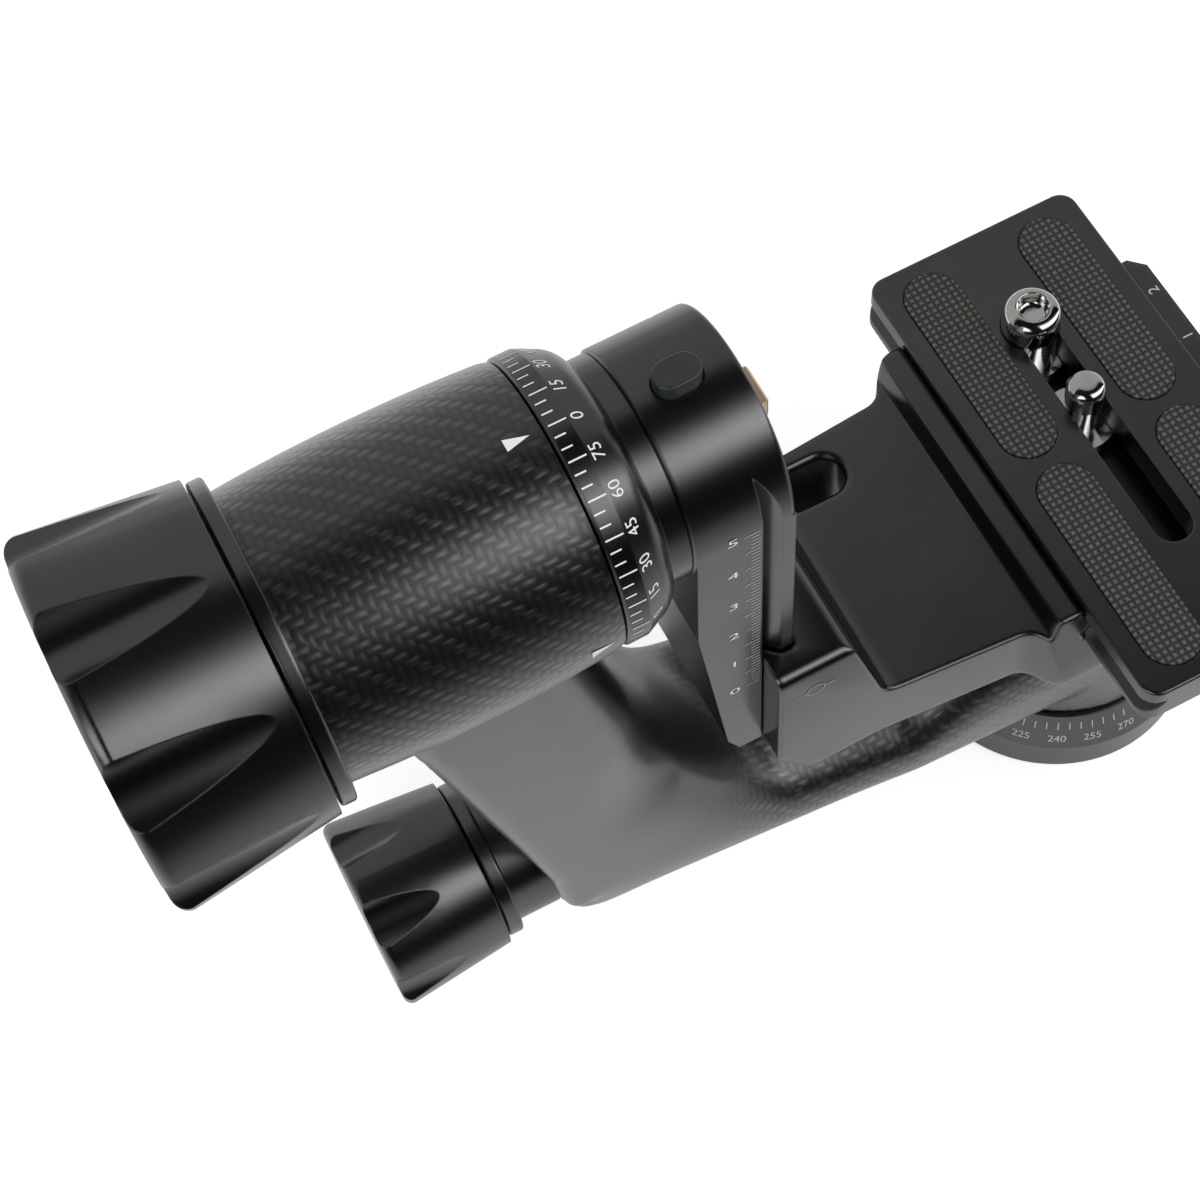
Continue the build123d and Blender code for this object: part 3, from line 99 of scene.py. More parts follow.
def feed(tree, value, socket):
    if isinstance(value, (int, float, tuple)):
        socket.default_value = value
    else:
        tree.links.new(value, socket)


def math_node(tree, operation, a, b=None):
    n = node(tree, "ShaderNodeMath", operation=operation)
    feed(tree, a, n.inputs[0])
    if b is not None:
        feed(tree, b, n.inputs[1])
    return n.outputs[0]


def split(tree, vector):
    n = node(tree, "ShaderNodeSeparateXYZ")
    tree.links.new(vector, n.inputs[0])
    return n.outputs


def map_range(tree, value, start, end, top=1.0, form="SMOOTHSTEP"):
    n = node(tree, "ShaderNodeMapRange", interpolation_type=form)
    n.inputs["From Min"].default_value = start
    n.inputs["From Max"].default_value = end
    n.inputs["To Max"].default_value = top
    tree.links.new(value, n.inputs["Value"])
    return n.outputs["Result"]


def mix_colors(tree, factor, a, b):
    n = node(tree, "ShaderNodeMix", data_type="RGBA")
    for name, value in (("Factor", factor), ("A", a), ("B", b)):
        feed(tree, value, n.inputs[name])
    return n.outputs["Result"]


def ramp(tree, factor, stops):
    n = node(tree, "ShaderNodeValToRGB")
    elements = n.color_ramp.elements
    elements[0].position, elements[0].color = stops[0]
    elements[1].position, elements[1].color = stops[-1]
    for position, color in stops[1:-1]:
        elements.new(position).color = color
    tree.links.new(factor, n.inputs[0])
    return n.outputs[0]


def grey(value):
    return (value, value, value, 1.0)


def grey_ramp(tree, factor, *stops):
    return ramp(tree, factor, [(position, grey(value)) for position, value in stops])


def bump(tree, height, strength, distance, base=None):
    n = node(tree, "ShaderNodeBump")
    n.inputs["Strength"].default_value = strength
    n.inputs["Distance"].default_value = distance * MM
    tree.links.new(height, n.inputs["Height"])
    if base is not None:
        tree.links.new(base, n.inputs["Normal"])
    return n.outputs[0]


def noise(tree, coords, scale, detail):
    n = node(tree, "ShaderNodeTexNoise")
    n.inputs["Scale"].default_value = scale
    n.inputs["Detail"].default_value = detail
    tree.links.new(coords, n.inputs["Vector"])
    return n.outputs["Fac"]


def object_coords(tree):
    return node(tree, "ShaderNodeTexCoord").outputs["Object"]


# Where a ramp over noise starts and ends, the depth of a fine grain, and how far its colour
# and roughness fall and rise
NOISE_LOW, NOISE_HIGH = 0.3, 0.7
GRAIN_DEPTH = 0.05
METAL_DARK, METAL_BRIGHT = 0.92, 1.06
METAL_SMOOTH, METAL_ROUGH = 0.8, 1.2
PLASTIC_DARK, PLASTIC_BRIGHT = 0.9, 1.1
PRINT_SCALE, PRINT_DARK = 3000.0, 0.93
PRINT_LOW, PRINT_HIGH = 0.2, 0.8

# Bead-blasted black anodised aluminium
ANODISED_GREY, ANODISED_SPREAD = 0.15, 0.07
ANODISED_ROUGHNESS, ROUGHNESS_SPREAD = 0.25, 0.02
BLAST_SCALE, BLAST_DEPTH, BLAST_STRENGTH = 5200.0, 0.04, 0.018
CLOUD_SCALE = 60.0


def anodised(name, edge, samples):
    mat, tree, shader = new_material(name)
    coords = object_coords(tree)
    fine = noise(tree, coords, BLAST_SCALE, detail=1.0)
    shade = grey_ramp(
        tree,
        noise(tree, coords, CLOUD_SCALE, detail=2.0),
        (NOISE_LOW, ANODISED_GREY * (1.0 - ANODISED_SPREAD)),
        (NOISE_HIGH, ANODISED_GREY * (1.0 + ANODISED_SPREAD)),
    )
    rough = grey_ramp(
        tree,
        fine,
        (NOISE_LOW, ANODISED_ROUGHNESS - ROUGHNESS_SPREAD),
        (NOISE_HIGH, ANODISED_ROUGHNESS + ROUGHNESS_SPREAD),
    )
    worn = node(tree, "ShaderNodeBevel", samples=samples)
    worn.inputs["Radius"].default_value = edge * MM
    relief = bump(tree, fine, BLAST_STRENGTH, BLAST_DEPTH, worn.outputs[0])
    tree.links.new(shade, shader.inputs["Base Color"])
    tree.links.new(rough, shader.inputs["Roughness"])
    tree.links.new(relief, shader.inputs["Normal"])
    shader.inputs["Metallic"].default_value = 1.0
    return mat


def speckled(tree, shader, fine, color, dark, bright):
    low = tuple(c * dark for c in color) + (1.0,)
    high = tuple(min(1.0, c * bright) for c in color) + (1.0,)
    speckle = ramp(tree, fine, [(NOISE_LOW, low), (NOISE_HIGH, high)])
    tree.links.new(speckle, shader.inputs["Base Color"])


def metal(name, color, roughness, scale=900.0, strength=0.05):
    mat, tree, shader = new_material(name)
    fine = noise(tree, object_coords(tree), scale, detail=3.0)
    speckled(tree, shader, fine, color, METAL_DARK, METAL_BRIGHT)
    rough = grey_ramp(
        tree,
        fine,
        (NOISE_LOW, roughness * METAL_SMOOTH),
        (NOISE_HIGH, roughness * METAL_ROUGH),
    )
    tree.links.new(rough, shader.inputs["Roughness"])
    tree.links.new(bump(tree, fine, strength, GRAIN_DEPTH), shader.inputs["Normal"])
    shader.inputs["Metallic"].default_value = 1.0
    return mat


def plastic(name, color, roughness, scale=2500.0, strength=0.2):
    mat, tree, shader = new_material(name)
    fine = noise(tree, object_coords(tree), scale, detail=2.0)
    speckled(tree, shader, fine, color, PLASTIC_DARK, PLASTIC_BRIGHT)
    tree.links.new(bump(tree, fine, strength, GRAIN_DEPTH), shader.inputs["Normal"])
    shader.inputs["Roughness"].default_value = roughness
    return mat


# Twill weave under a smooth clear coat, its floats coloured lighter as a painted sheen. Round the
# sleeve it follows the angle, and elsewhere the face it lies on.
WEAVE_RADIUS = 22.0
SLEEVE_FROM_Z = 123.0
FACING_SHARE = 0.7
TOW_WIDTH = 1.25
WOBBLE_SCALE, WOBBLE = 320.0, 0.5
TWILL_CELLS, FLOAT_CELLS = 4.0, 2.0
PILLOW_PEAK = 16.0
WEB_X, BEAM_X = -82.0, -68.0
SLEEVE_LOW_Z, SLEEVE_MIDDLE_Z = 126.0, 137.0
FAINT_SHARE = 0.05
PATCH_SCALE = 45.0
# How much lighter the warp and weft floats are coloured: a painted sheen of the fibres
WARP_PAINTED_SHEEN, WEFT_PAINTED_SHEEN = 0.8, 0.35
WEAVE_STRENGTH, WEAVE_DEPTH = 0.32, 0.4
# Colours from the carbon's own dark to the painted sheen on the floats
TWILL_AND_SHEEN_COLORS = [
    (0.0, (0.030, 0.031, 0.034, 1)),
    (0.4, (0.070, 0.068, 0.064, 1)),
    (0.9, (0.135, 0.127, 0.108, 1)),
]


def carbon(name):
    mat, tree, shader = new_material(name)
    coords = object_coords(tree)
    x, y, z = split(tree, coords)
    facing = split(tree, node(tree, "ShaderNodeNewGeometry").outputs["True Normal"])

    def calc(operation, a, b=None):
        return math_node(tree, operation, a, b)

    def rest(share):
        return calc("SUBTRACT", 1.0, share)

    def either(share, yes, no):
        return calc("ADD", calc("MULTIPLY", yes, share), calc("MULTIPLY", no, rest(share)))

    def faces_along(axis):
        return calc("GREATER_THAN", calc("ABSOLUTE", facing[axis]), FACING_SHARE)

    on_sleeve = calc("GREATER_THAN", z, SLEEVE_FROM_Z * MM)
    end_facing = calc("MULTIPLY", faces_along(0), rest(on_sleeve))
    angle = calc("ARCTAN2", y, calc("SUBTRACT", z, TILT_Z * MM))
    around = calc("MULTIPLY", angle, WEAVE_RADIUS * MM)
    along = either(end_facing, y, x)
    across = either(on_sleeve, around, either(faces_along(2), y, z))
    unrest = calc("SUBTRACT", noise(tree, coords, WOBBLE_SCALE, detail=2.0), 0.5)
    wobble = calc("MULTIPLY", unrest, WOBBLE)
    u = calc("ADD", calc("DIVIDE", across, TOW_WIDTH * MM), wobble)
    v = calc("ADD", calc("DIVIDE", along, TOW_WIDTH * MM), wobble)
    diagonal = calc("ADD", calc("FLOOR", u), calc("FLOOR", v))
    phase = calc("FLOORED_MODULO", diagonal, TWILL_CELLS)
    over = calc("LESS_THAN", phase, FLOAT_CELLS - 0.5)
    part_u, part_v = calc("FRACT", u), calc("FRACT", v)

    # A tow lies on top for two cells: a pillow that is long along the tow and round across it
    def pillow(long_share, short_share):
        long_way = calc("MULTIPLY", long_share, rest(long_share))
        short_way = calc("MULTIPLY", short_share, rest(short_share))
        return calc("MULTIPLY", calc("MULTIPLY", long_way, short_way), PILLOW_PEAK)

    warp_run = calc("MULTIPLY", calc("ADD", phase, part_v), 1.0 / FLOAT_CELLS)
    weft_phase = calc("SUBTRACT", phase, FLOAT_CELLS)
    weft_run = calc("MULTIPLY", calc("ADD", weft_phase, part_u), 1.0 / FLOAT_CELLS)
    warp = calc("MULTIPLY", pillow(warp_run, part_u), over)
    weft = calc("MULTIPLY", pillow(weft_run, part_v), rest(over))

    # On the web and low on the sleeve the weave hardly shows
    on_beam = map_range(tree, x, WEB_X * MM, BEAM_X * MM)
    on_top = map_range(tree, z, SLEEVE_LOW_Z * MM, SLEEVE_MIDDLE_Z * MM)
    shown = calc("MAXIMUM", calc("MULTIPLY", on_beam, rest(on_sleeve)), on_top)
    shown = calc("MAXIMUM", shown, FAINT_SHARE)
    height = calc("MULTIPLY", calc("ADD", warp, weft), shown)
    # The colour is lighter on the warp floats and at each tow's crown, and darker at the tow
    # edges: painted sheen and painted shade laid on the real twill pattern
    lit_warp, lit_weft = calc("MULTIPLY", warp, WARP_PAINTED_SHEEN), calc("MULTIPLY", weft, WEFT_PAINTED_SHEEN)
    patch = calc("ADD", noise(tree, coords, PATCH_SCALE, detail=1.0), 0.5)
    shade = calc("MULTIPLY", calc("MULTIPLY", calc("ADD", lit_warp, lit_weft), patch), shown)
    tree.links.new(ramp(tree, shade, TWILL_AND_SHEEN_COLORS), shader.inputs["Base Color"])
    relief = bump(tree, height, WEAVE_STRENGTH, WEAVE_DEPTH)
    tree.links.new(relief, shader.inputs["Normal"])
    shader.inputs["Metallic"].default_value = 1.0
    shader.inputs["Roughness"].default_value = 0.38
    shader.inputs["Coat Weight"].default_value = 1.0
    shader.inputs["Coat Roughness"].default_value = 0.3
    shader.inputs["Coat IOR"].default_value = 1.85
    return mat


# Rubber with a fine grid of pyramids, coloured with painted shade in the valleys and a painted
# highlight on the tips
PYRAMID_PITCH, PYRAMID_STRENGTH, PYRAMID_DEPTH = 1.15, 0.6, 0.4
SPECKLE_SCALE, SPECKLE_BASE = 1500.0, 0.4
# Colours from the valleys to the tips: painted shade rising to a painted highlight
RUBBER_PAINTED_SHADE_COLORS = [
    (0.10, (0.020, 0.022, 0.022, 1)),
    (0.35, (0.046, 0.050, 0.045, 1)),
    (0.75, (0.118, 0.126, 0.100, 1)),
]


def grip_rubber(name):
    mat, tree, shader = new_material(name)
    coords = object_coords(tree)
    slopes = []
    for place in split(tree, coords)[:2]:
        share = math_node(tree, "FRACT", math_node(tree, "DIVIDE", place, PYRAMID_PITCH * MM))
        fall = math_node(tree, "ABSOLUTE", math_node(tree, "SUBTRACT", share, 0.5))
        fall = math_node(tree, "MULTIPLY", fall, 2.0)
        slopes.append(math_node(tree, "SUBTRACT", 1.0, fall))
    height = math_node(tree, "MINIMUM", *slopes)
    # The colour follows the pyramids' height: painted shade down in the valleys, a painted
    # highlight on the tips, with a random speckle
    speckle = math_node(tree, "ADD", noise(tree, coords, SPECKLE_SCALE, detail=2.0), SPECKLE_BASE)
    painted_shade_and_speckle = math_node(tree, "MULTIPLY", height, speckle)
    tree.links.new(ramp(tree, painted_shade_and_speckle, RUBBER_PAINTED_SHADE_COLORS), shader.inputs["Base Color"])
    relief = bump(tree, height, PYRAMID_STRENGTH, PYRAMID_DEPTH)
    tree.links.new(relief, shader.inputs["Normal"])
    shader.inputs["Roughness"].default_value = 0.75
    return mat


def print_paint(name, value):
    mat, tree, shader = new_material(name)
    fine = noise(tree, object_coords(tree), PRINT_SCALE, detail=2.0)
    shade = grey_ramp(tree, fine, (PRINT_LOW, value * PRINT_DARK), (PRINT_HIGH, value))
    tree.links.new(shade, shader.inputs["Base Color"])
    shader.inputs["Roughness"].default_value = 0.6
    return mat


white_print = print_paint("white_print", 0.80)
grey_print = print_paint("grey_print", 0.50)
dim_print = print_paint("dim_print", 0.32)
black_milled = anodised("black_milled", 1.3, 16)
slot_materials = {
    "carbon_laminate": carbon("carbon_twill"),
    "black_anodised": anodised("black_anodised", 0.4, 6),
    "bare_aluminium": metal("bare_aluminium", (0.72, 0.72, 0.73), 0.3),
    "bearing_steel": metal("bearing_steel", (0.55, 0.55, 0.56), 0.25),
    "zinc_steel": metal("zinc_steel", (0.60, 0.60, 0.60), 0.3),
    "polished_steel": metal("polished_steel", (0.80, 0.79, 0.77), 0.10, 400.0, 0.02),
    "brass": metal("brass", (0.84, 0.66, 0.46), 0.38),
    "black_plastic": plastic("black_plastic", (0.028, 0.032, 0.033), 0.32),
    "acetal": plastic("acetal", (0.80, 0.79, 0.75), 0.4),
    "grip_rubber": grip_rubber("grip_rubber"),
    "spring_steel": metal("spring_steel", (0.42, 0.42, 0.43), 0.3),
}
MILLED = ("l_bracket", "clamp_jaw", "height_jaw")
for entry in frame["record"]["subparts"]:
    name = entry["node"]
    materials = nodes[name].data.materials
    materials.clear()
    materials.append(black_milled if name in MILLED else slot_materials[entry["material_slot"]])


# Mesh helpers
def new_piece(name, mesh, material, body, stands_for=None):
    mesh.materials.clear()
    mesh.materials.append(material)
    piece = bpy.data.objects.new(name, mesh)
    scene.collection.objects.link(piece)
    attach(piece, body)
    if stands_for:
        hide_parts(stands_for)
    return piece


def mesh_from(name, verts, faces):
    mesh = bpy.data.meshes.new(name)
    mesh.from_pydata([tuple(Vector(v) * MM) for v in verts], [], faces)
    return mesh


def evaluated_mesh(thing):
    bpy.context.view_layer.update()
    graph = bpy.context.evaluated_depsgraph_get()
    return bpy.data.meshes.new_from_object(thing.evaluated_get(graph))


def everything(bm):
    return bm.verts[:] + bm.edges[:] + bm.faces[:]


def cut(mesh, height, keep_below):
    bm = bmesh.new()
    bm.from_mesh(mesh)
    place = Vector((0, 0, height)) * MM
    bmesh.ops.bisect_plane(
        bm, geom=everything(bm), plane_co=place, plane_no=(0, 0, 1), clear_outer=keep_below
    )
    if not keep_below:
        below = [f for f in bm.faces if f.calc_center_median().z < place.z]
        bmesh.ops.delete(bm, geom=below, context="FACES")
    bm.to_mesh(mesh)
    bm.free()


def rising(value, start, end):
    share = np.clip((value - start) / (end - start), 0.0, 1.0)
    return share * share * (3.0 - 2.0 * share)


def on_circle(centre_a, centre_b, radius, angle):
    return centre_a + radius * math.cos(angle), centre_b + radius * math.sin(angle)


# The arm above the seam keeps its sleeve, whose open end has only a fine lip
SEAM_Z = 121.0
SLEEVE_END, LIP = -94.6, 1.3
LIP_INNER, LIP_RADIUS, LIP_DROP, LIP_POWER = 20.2, 21.6, 0.35, 8
RUN_END, END_FACING = 1.01, 0.99
solid_arm = nodes["arm_shell"]
sleeve_mesh = solid_arm.data.copy()
cut(sleeve_mesh, SEAM_Z, False)
normals = [c.vector.copy() for c in sleeve_mesh.corner_normals]
on_lip = {}
for vert in sleeve_mesh.vertices:
    centre = Vector((vert.co.x, 0, TILT_Z * MM))
    outward = vert.co - centre
    run = (vert.co.x / MM - SLEEVE_END) / LIP + 1.0
    if outward.length > LIP_INNER * MM and 0.0 < run < RUN_END:
        on_lip[vert.index] = outward.normalized()
        lowered = LIP_RADIUS - LIP_DROP * min(run, 1.0) ** LIP_POWER
        vert.co = centre + on_lip[vert.index] * lowered * MM
for loop in sleeve_mesh.loops:
    if loop.vertex_index in on_lip and normals[loop.index].x < END_FACING:
        normals[loop.index] = on_lip[loop.vertex_index]
sleeve_mesh.normals_split_custom_set(normals)
new_piece(
    "arm_sleeve",
    sleeve_mesh,
    slot_materials["carbon_laminate"],
    "arm",
    "arm_shell",
)

# Below the seam the arm is one moulded skin, with a soft blend where web and beam meet.
# Each pair of places runs from where a share is nothing to where it is whole.
VOXEL = 0.8
STEPS, WHOLE_STEPS, PULL = 340, 4, 0.5
SOFT_LEFT_X, SOFT_RIGHT_X = (-106.0, -92.0), (-40.0, -56.0)
SOFT_TOP_Z, SOFT_FOOT_Z = (92.0, 66.0), (18.0, 30.0)
SOFT_FRONT_Y, BACK_SOFTNESS = (6.0, -6.0), 0.45
BEAM_LEFT_X, BEAM_RIGHT_X = (-84.0, -64.0), (-24.0, -44.0)
BEAM_FRONT_Y, BEAM_TOP_Z = (20.0, -16.0), (66.0, 50.0)
SHOULDER_FROM_Z, SHOULDER_REACH, SHOULDER_SHARE = 26.0, 24.0, 0.41
voxels = bpy.data.objects.new("voxels", solid_arm.data.copy())
scene.collection.objects.link(voxels)
remesh = voxels.modifiers.new("voxels", "REMESH")
remesh.mode = "VOXEL"
remesh.voxel_size = VOXEL * MM
remesh.use_smooth_shade = True
skin_mesh = evaluated_mesh(voxels)
bpy.data.objects.remove(voxels)
count = len(skin_mesh.vertices)
places = np.empty(count * 3)
skin_mesh.vertices.foreach_get("co", places)
places = places.reshape(count, 3)
ends = np.empty(len(skin_mesh.edges) * 2, dtype=np.int64)
skin_mesh.edges.foreach_get("vertices", ends)
ends = ends.reshape(-1, 2)
degree = np.maximum(np.bincount(ends.ravel(), minlength=count), 1)
x, y, z = places.T / MM
softness = rising(x, *SOFT_LEFT_X) * rising(x, *SOFT_RIGHT_X)
softness = softness * rising(z, *SOFT_TOP_Z) * rising(z, *SOFT_FOOT_Z)
softness = softness * (BACK_SOFTNESS + (1.0 - BACK_SOFTNESS) * rising(y, *SOFT_FRONT_Y))
for step in range(STEPS):
    pull = PULL * (np.ones(count) if step < WHOLE_STEPS else softness)
    total = np.zeros_like(places)
    for axis in range(3):
        for one, other in ((0, 1), (1, 0)):
            total[:, axis] += np.bincount(
                ends[:, one], weights=places[ends[:, other], axis], minlength=count
            )
    places += (total / degree[:, None] - places) * pull[:, None]
# Along the beam the upper half is shallower, so its front shoulder lies lower
x, y, z = places.T / MM
along = rising(x, *BEAM_LEFT_X) * rising(x, *BEAM_RIGHT_X) * rising(y, *BEAM_FRONT_Y)
above = np.clip(z - SHOULDER_FROM_Z, 0.0, SHOULDER_REACH)
places[:, 2] -= along * rising(z, *BEAM_TOP_Z) * above * SHOULDER_SHARE * MM
skin_mesh.vertices.foreach_set("co", places.ravel())
skin_mesh.update()
cut(skin_mesh, SEAM_Z, True)
new_piece(
    "arm_skin",
    skin_mesh,
    slot_materials["carbon_laminate"],
    "arm",
    "arm_shell",
)

# The bracket's block is rounded along its top front edge
BLOCK_FRONT, BLOCK_TOP, BLOCK_ROUND, FACETS = -22.5, 103.0, 2.2, 8
MERGE_DISTANCE, SHARP_DEGREES = 0.002, 30
bracket_mesh = nodes["l_bracket"].data.copy()
if "custom_normal" in bracket_mesh.attributes:
    bracket_mesh.attributes.remove(bracket_mesh.attributes["custom_normal"])
bm = bmesh.new()
bm.from_mesh(bracket_mesh)
bmesh.ops.remove_doubles(bm, verts=bm.verts[:], dist=MERGE_DISTANCE * MM)
round_centre = Vector((0, BLOCK_FRONT + BLOCK_ROUND, BLOCK_TOP - BLOCK_ROUND))
for k in range(1, FACETS):
    angle = k * math.pi / 2 / FACETS
    facing = Vector((0, -math.sin(angle), math.cos(angle)))
    place = (round_centre + facing * BLOCK_ROUND) * MM
    result = bmesh.ops.bisect_plane(
        bm, geom=everything(bm), plane_co=place, plane_no=facing, clear_outer=True
    )
    rim = [g for g in result["geom_cut"] if isinstance(g, bmesh.types.BMEdge)]
    bmesh.ops.holes_fill(bm, edges=rim)
for face in bm.faces:
    face.smooth = True
bmesh.ops.recalc_face_normals(bm, faces=bm.faces[:])
bm.to_mesh(bracket_mesh)
bm.free()
bracket_mesh.set_sharp_from_angle(angle=math.radians(SHARP_DEGREES))
new_piece("bracket_body", bracket_mesh, black_milled, "bracket", "l_bracket")

# The camera screws' tips are turned round and polished
SHOULDER_Z = 88.2
TIP_FACETS, TIP_SIDES = 12, 64
LARGE_RADIUS, LARGE_TOP, LARGE_SHOULDER = 4.7625, 90.1, 2.05
SMALL_RADIUS, SMALL_TOP, SMALL_SHOULDER = 3.175, 89.87, 1.8
LARGE_CUP = ((1.2, 88.13), (1.9, 88.25), (2.2, 88.6), (2.3, 89.2), (2.45, 89.75), (2.7, 90.02))
SMALL_MIDDLE = ((0.7, 89.88),)


def turned_tip(name, source, body, inner, radius, top, shoulder):
    mesh = nodes[source].data.copy()
    ys = [v.co.y for v in mesh.vertices]
    centre_y = (min(ys) + max(ys)) / 2 / MM
    cut(mesh, SHOULDER_Z, True)
    profile = list(inner)
    for k in range(TIP_FACETS + 1):
        turn = k * math.pi / 2 / TIP_FACETS
        r = radius - shoulder + shoulder * math.sin(turn)
        profile.append((r, SHOULDER_Z + (top - SHOULDER_Z) * math.cos(turn)))
    bm = bmesh.new()
    bm.from_mesh(mesh)
    rings = []
    for r, z in profile:
        ring = []
        for k in range(TIP_SIDES):
            x, y = on_circle(0.0, centre_y, r, 2 * math.pi * k / TIP_SIDES)
            ring.append(bm.verts.new(Vector((x, y, z)) * MM))
        rings.append(ring)
    middle = bm.verts.new(Vector((0, centre_y, profile[0][1])) * MM)
    for k in range(TIP_SIDES):
        nxt = (k + 1) % TIP_SIDES
        bm.faces.new((middle, rings[0][k], rings[0][nxt])).smooth = True
        for low, high in zip(rings, rings[1:]):
            bm.faces.new((low[k], high[k], high[nxt], low[nxt])).smooth = True
    bm.to_mesh(mesh)
    bm.free()
    new_piece(name, mesh, slot_materials["polished_steel"], body, source)


turned_tip(
    "large_screw_turned",
    "camera_screw_large",
    "large_screw",
    LARGE_CUP,
    LARGE_RADIUS,
    LARGE_TOP,
    LARGE_SHOULDER,
)
turned_tip(
    "small_screw_turned",
    "camera_screw_small",
    "small_screw",
    SMALL_MIDDLE,
    SMALL_RADIUS,
    SMALL_TOP,
    SMALL_SHOULDER,
)

# Printed marks: flat outlines laid on the surface that carries them
LIFT = 0.05
QUAD = [(0, 1, 2, 3)]


def print_marks(name, shapes, material, body):
    verts, faces = [], []
    for some_verts, some_faces in shapes:
        offset = len(verts)
        verts.extend(some_verts)
        faces.extend(tuple(i + offset for i in f) for f in some_faces)
    new_piece(name, mesh_from(name, verts, faces), material, body)


def text_shape(text, size):
    curve = bpy.data.curves.new("glyphs", "FONT")
    curve.body = text
    curve.size = size
    curve.align_x = "CENTER"
    curve.align_y = "CENTER"
    curve.resolution_u = 6
    holder = bpy.data.objects.new("glyphs", curve)
    scene.collection.objects.link(holder)
    mesh = evaluated_mesh(holder)
    verts = [(v.co.x, v.co.y) for v in mesh.vertices]
    faces = [tuple(p.vertices) for p in mesh.polygons]
    bpy.data.objects.remove(holder)
    bpy.data.meshes.remove(mesh)
    bpy.data.curves.remove(curve)
    return verts, faces


# Degree ring: the angle runs from straight up towards the front, in steps of 5 degrees
# with a long tick and a numeral on every third
STEP_DEGREES, STEPS_ROUND, STEPS_A_NUMERAL = 5, 72, 3
RING_RADIUS, RING_ZERO = 21.5, 1.0
RING_TICK_LEFT, RING_TICK_LONG, RING_TICK_SHORT, RING_TICK_WIDTH = -93.7, -91.1, -92.1, 0.24
RING_CONE_LEFT, RING_CONE_LENGTH, RING_CONE_DROP = -90.9, 2.7, 1.3
RING_TEXT_X, RING_TEXT_SIZE, RING_TEXT_RADIUS = -89.5, 2.5, 20.8
RING_REPEAT = 90


def on_ring(x, theta, radius):
    up, front = on_circle(0.0, 0.0, radius, math.radians(theta))
    return (x, -front, TILT_Z + up)


def ring_tick(theta, x0, x1):
    half = math.degrees(RING_TICK_WIDTH / 2 / RING_RADIUS)
    corners = ((x0, -half), (x1, -half), (x1, half), (x0, half))
    return [on_ring(x, theta + turn, RING_RADIUS + LIFT) for x, turn in corners], QUAD


def ring_text(text, theta):
    verts, faces = text_shape(text, RING_TEXT_SIZE)
    placed = []
    for along, height in verts:
        x = RING_TEXT_X - height
        share = (x - RING_CONE_LEFT) / RING_CONE_LENGTH
        radius = RING_RADIUS - RING_CONE_DROP * share + LIFT
        placed.append(on_ring(x, theta - math.degrees(along / RING_TEXT_RADIUS), radius))
    return placed, faces


ring_ticks, ring_numerals = [], []
for step in range(STEPS_ROUND):
    degrees = step * STEP_DEGREES
    numbered = step % STEPS_A_NUMERAL == 0
    tick_right = RING_TICK_LONG if numbered else RING_TICK_SHORT
    ring_ticks.append(ring_tick(RING_ZERO + degrees, RING_TICK_LEFT, tick_right))
    if numbered:
        ring_numerals.append(ring_text(str(-degrees % RING_REPEAT), RING_ZERO + degrees))
print_marks("ring_ticks", ring_ticks, white_print, "swing")
print_marks("ring_numerals", ring_numerals, white_print, "swing")

# Two white pointers on the carbon sleeve
POINTER_BACK, POINTER_TIP, POINTER_HALF = -99.9, -96.35, 0.95
POINTER_BACK_RADIUS, POINTER_TIP_RADIUS = 21.92, 21.64
POINTER_ANGLES = (1.1, 93.3)


def pointer(theta):
    radius = POINTER_BACK_RADIUS + LIFT
    half = math.degrees(POINTER_HALF / radius)
    back = [on_ring(POINTER_BACK, theta + turn, radius) for turn in (-half, half)]
    return back + [on_ring(POINTER_TIP, theta, POINTER_TIP_RADIUS + LIFT)], [(0, 1, 2)]


print_marks("sleeve_pointers", [pointer(theta) for theta in POINTER_ANGLES], white_print, "arm")

# Ruler on the tongue's front
TONGUE_Y = -17.1 - LIFT
RULER_ZERO, RULER_LENGTH, RULER_HALF = 96.3, 50, 0.09
RULER_LONG, RULER_SHORT, RULER_RIGHT = -74.54, -73.5, -72.1
RULER_TEXT_X, RULER_TEXT_SIZE, RULER_TEXT_WIDE = -76.3, 2.6, 1.45


def flat_bar(x0, x1, z0, z1, y):
    return [(x0, y, z0), (x1, y, z0), (x1, y, z1), (x0, y, z1)], QUAD


def ruler_numeral(centimetres):
    verts, faces = text_shape(str(centimetres), RULER_TEXT_SIZE)
    middle = RULER_ZERO + centimetres * 10
    return [(RULER_TEXT_X + u * RULER_TEXT_WIDE, TONGUE_Y, middle + v) for u, v in verts], faces


bars = []
for step in range(RULER_LENGTH + 1):
    left = RULER_LONG if step % 5 == 0 else RULER_SHORT
    z = RULER_ZERO + step
    bars.append(flat_bar(left, RULER_RIGHT, z - RULER_HALF, z + RULER_HALF, TONGUE_Y))
print_marks("ruler_ticks", bars, grey_print, "swing")
numerals = [ruler_numeral(n) for n in range(RULER_LENGTH // 10 + 1)]
print_marks("ruler_numerals", numerals, white_print, "swing")

# The safety button's spring is a coil, built at one length and not shortened here as the button
# goes in
COIL_LENGTH, COIL_TURNS, COIL_WIRE, COIL_KEEP = 3.9, 3, 0.36, 0.6
COIL_STEPS, COIL_SIDES = 24 * COIL_TURNS, 8


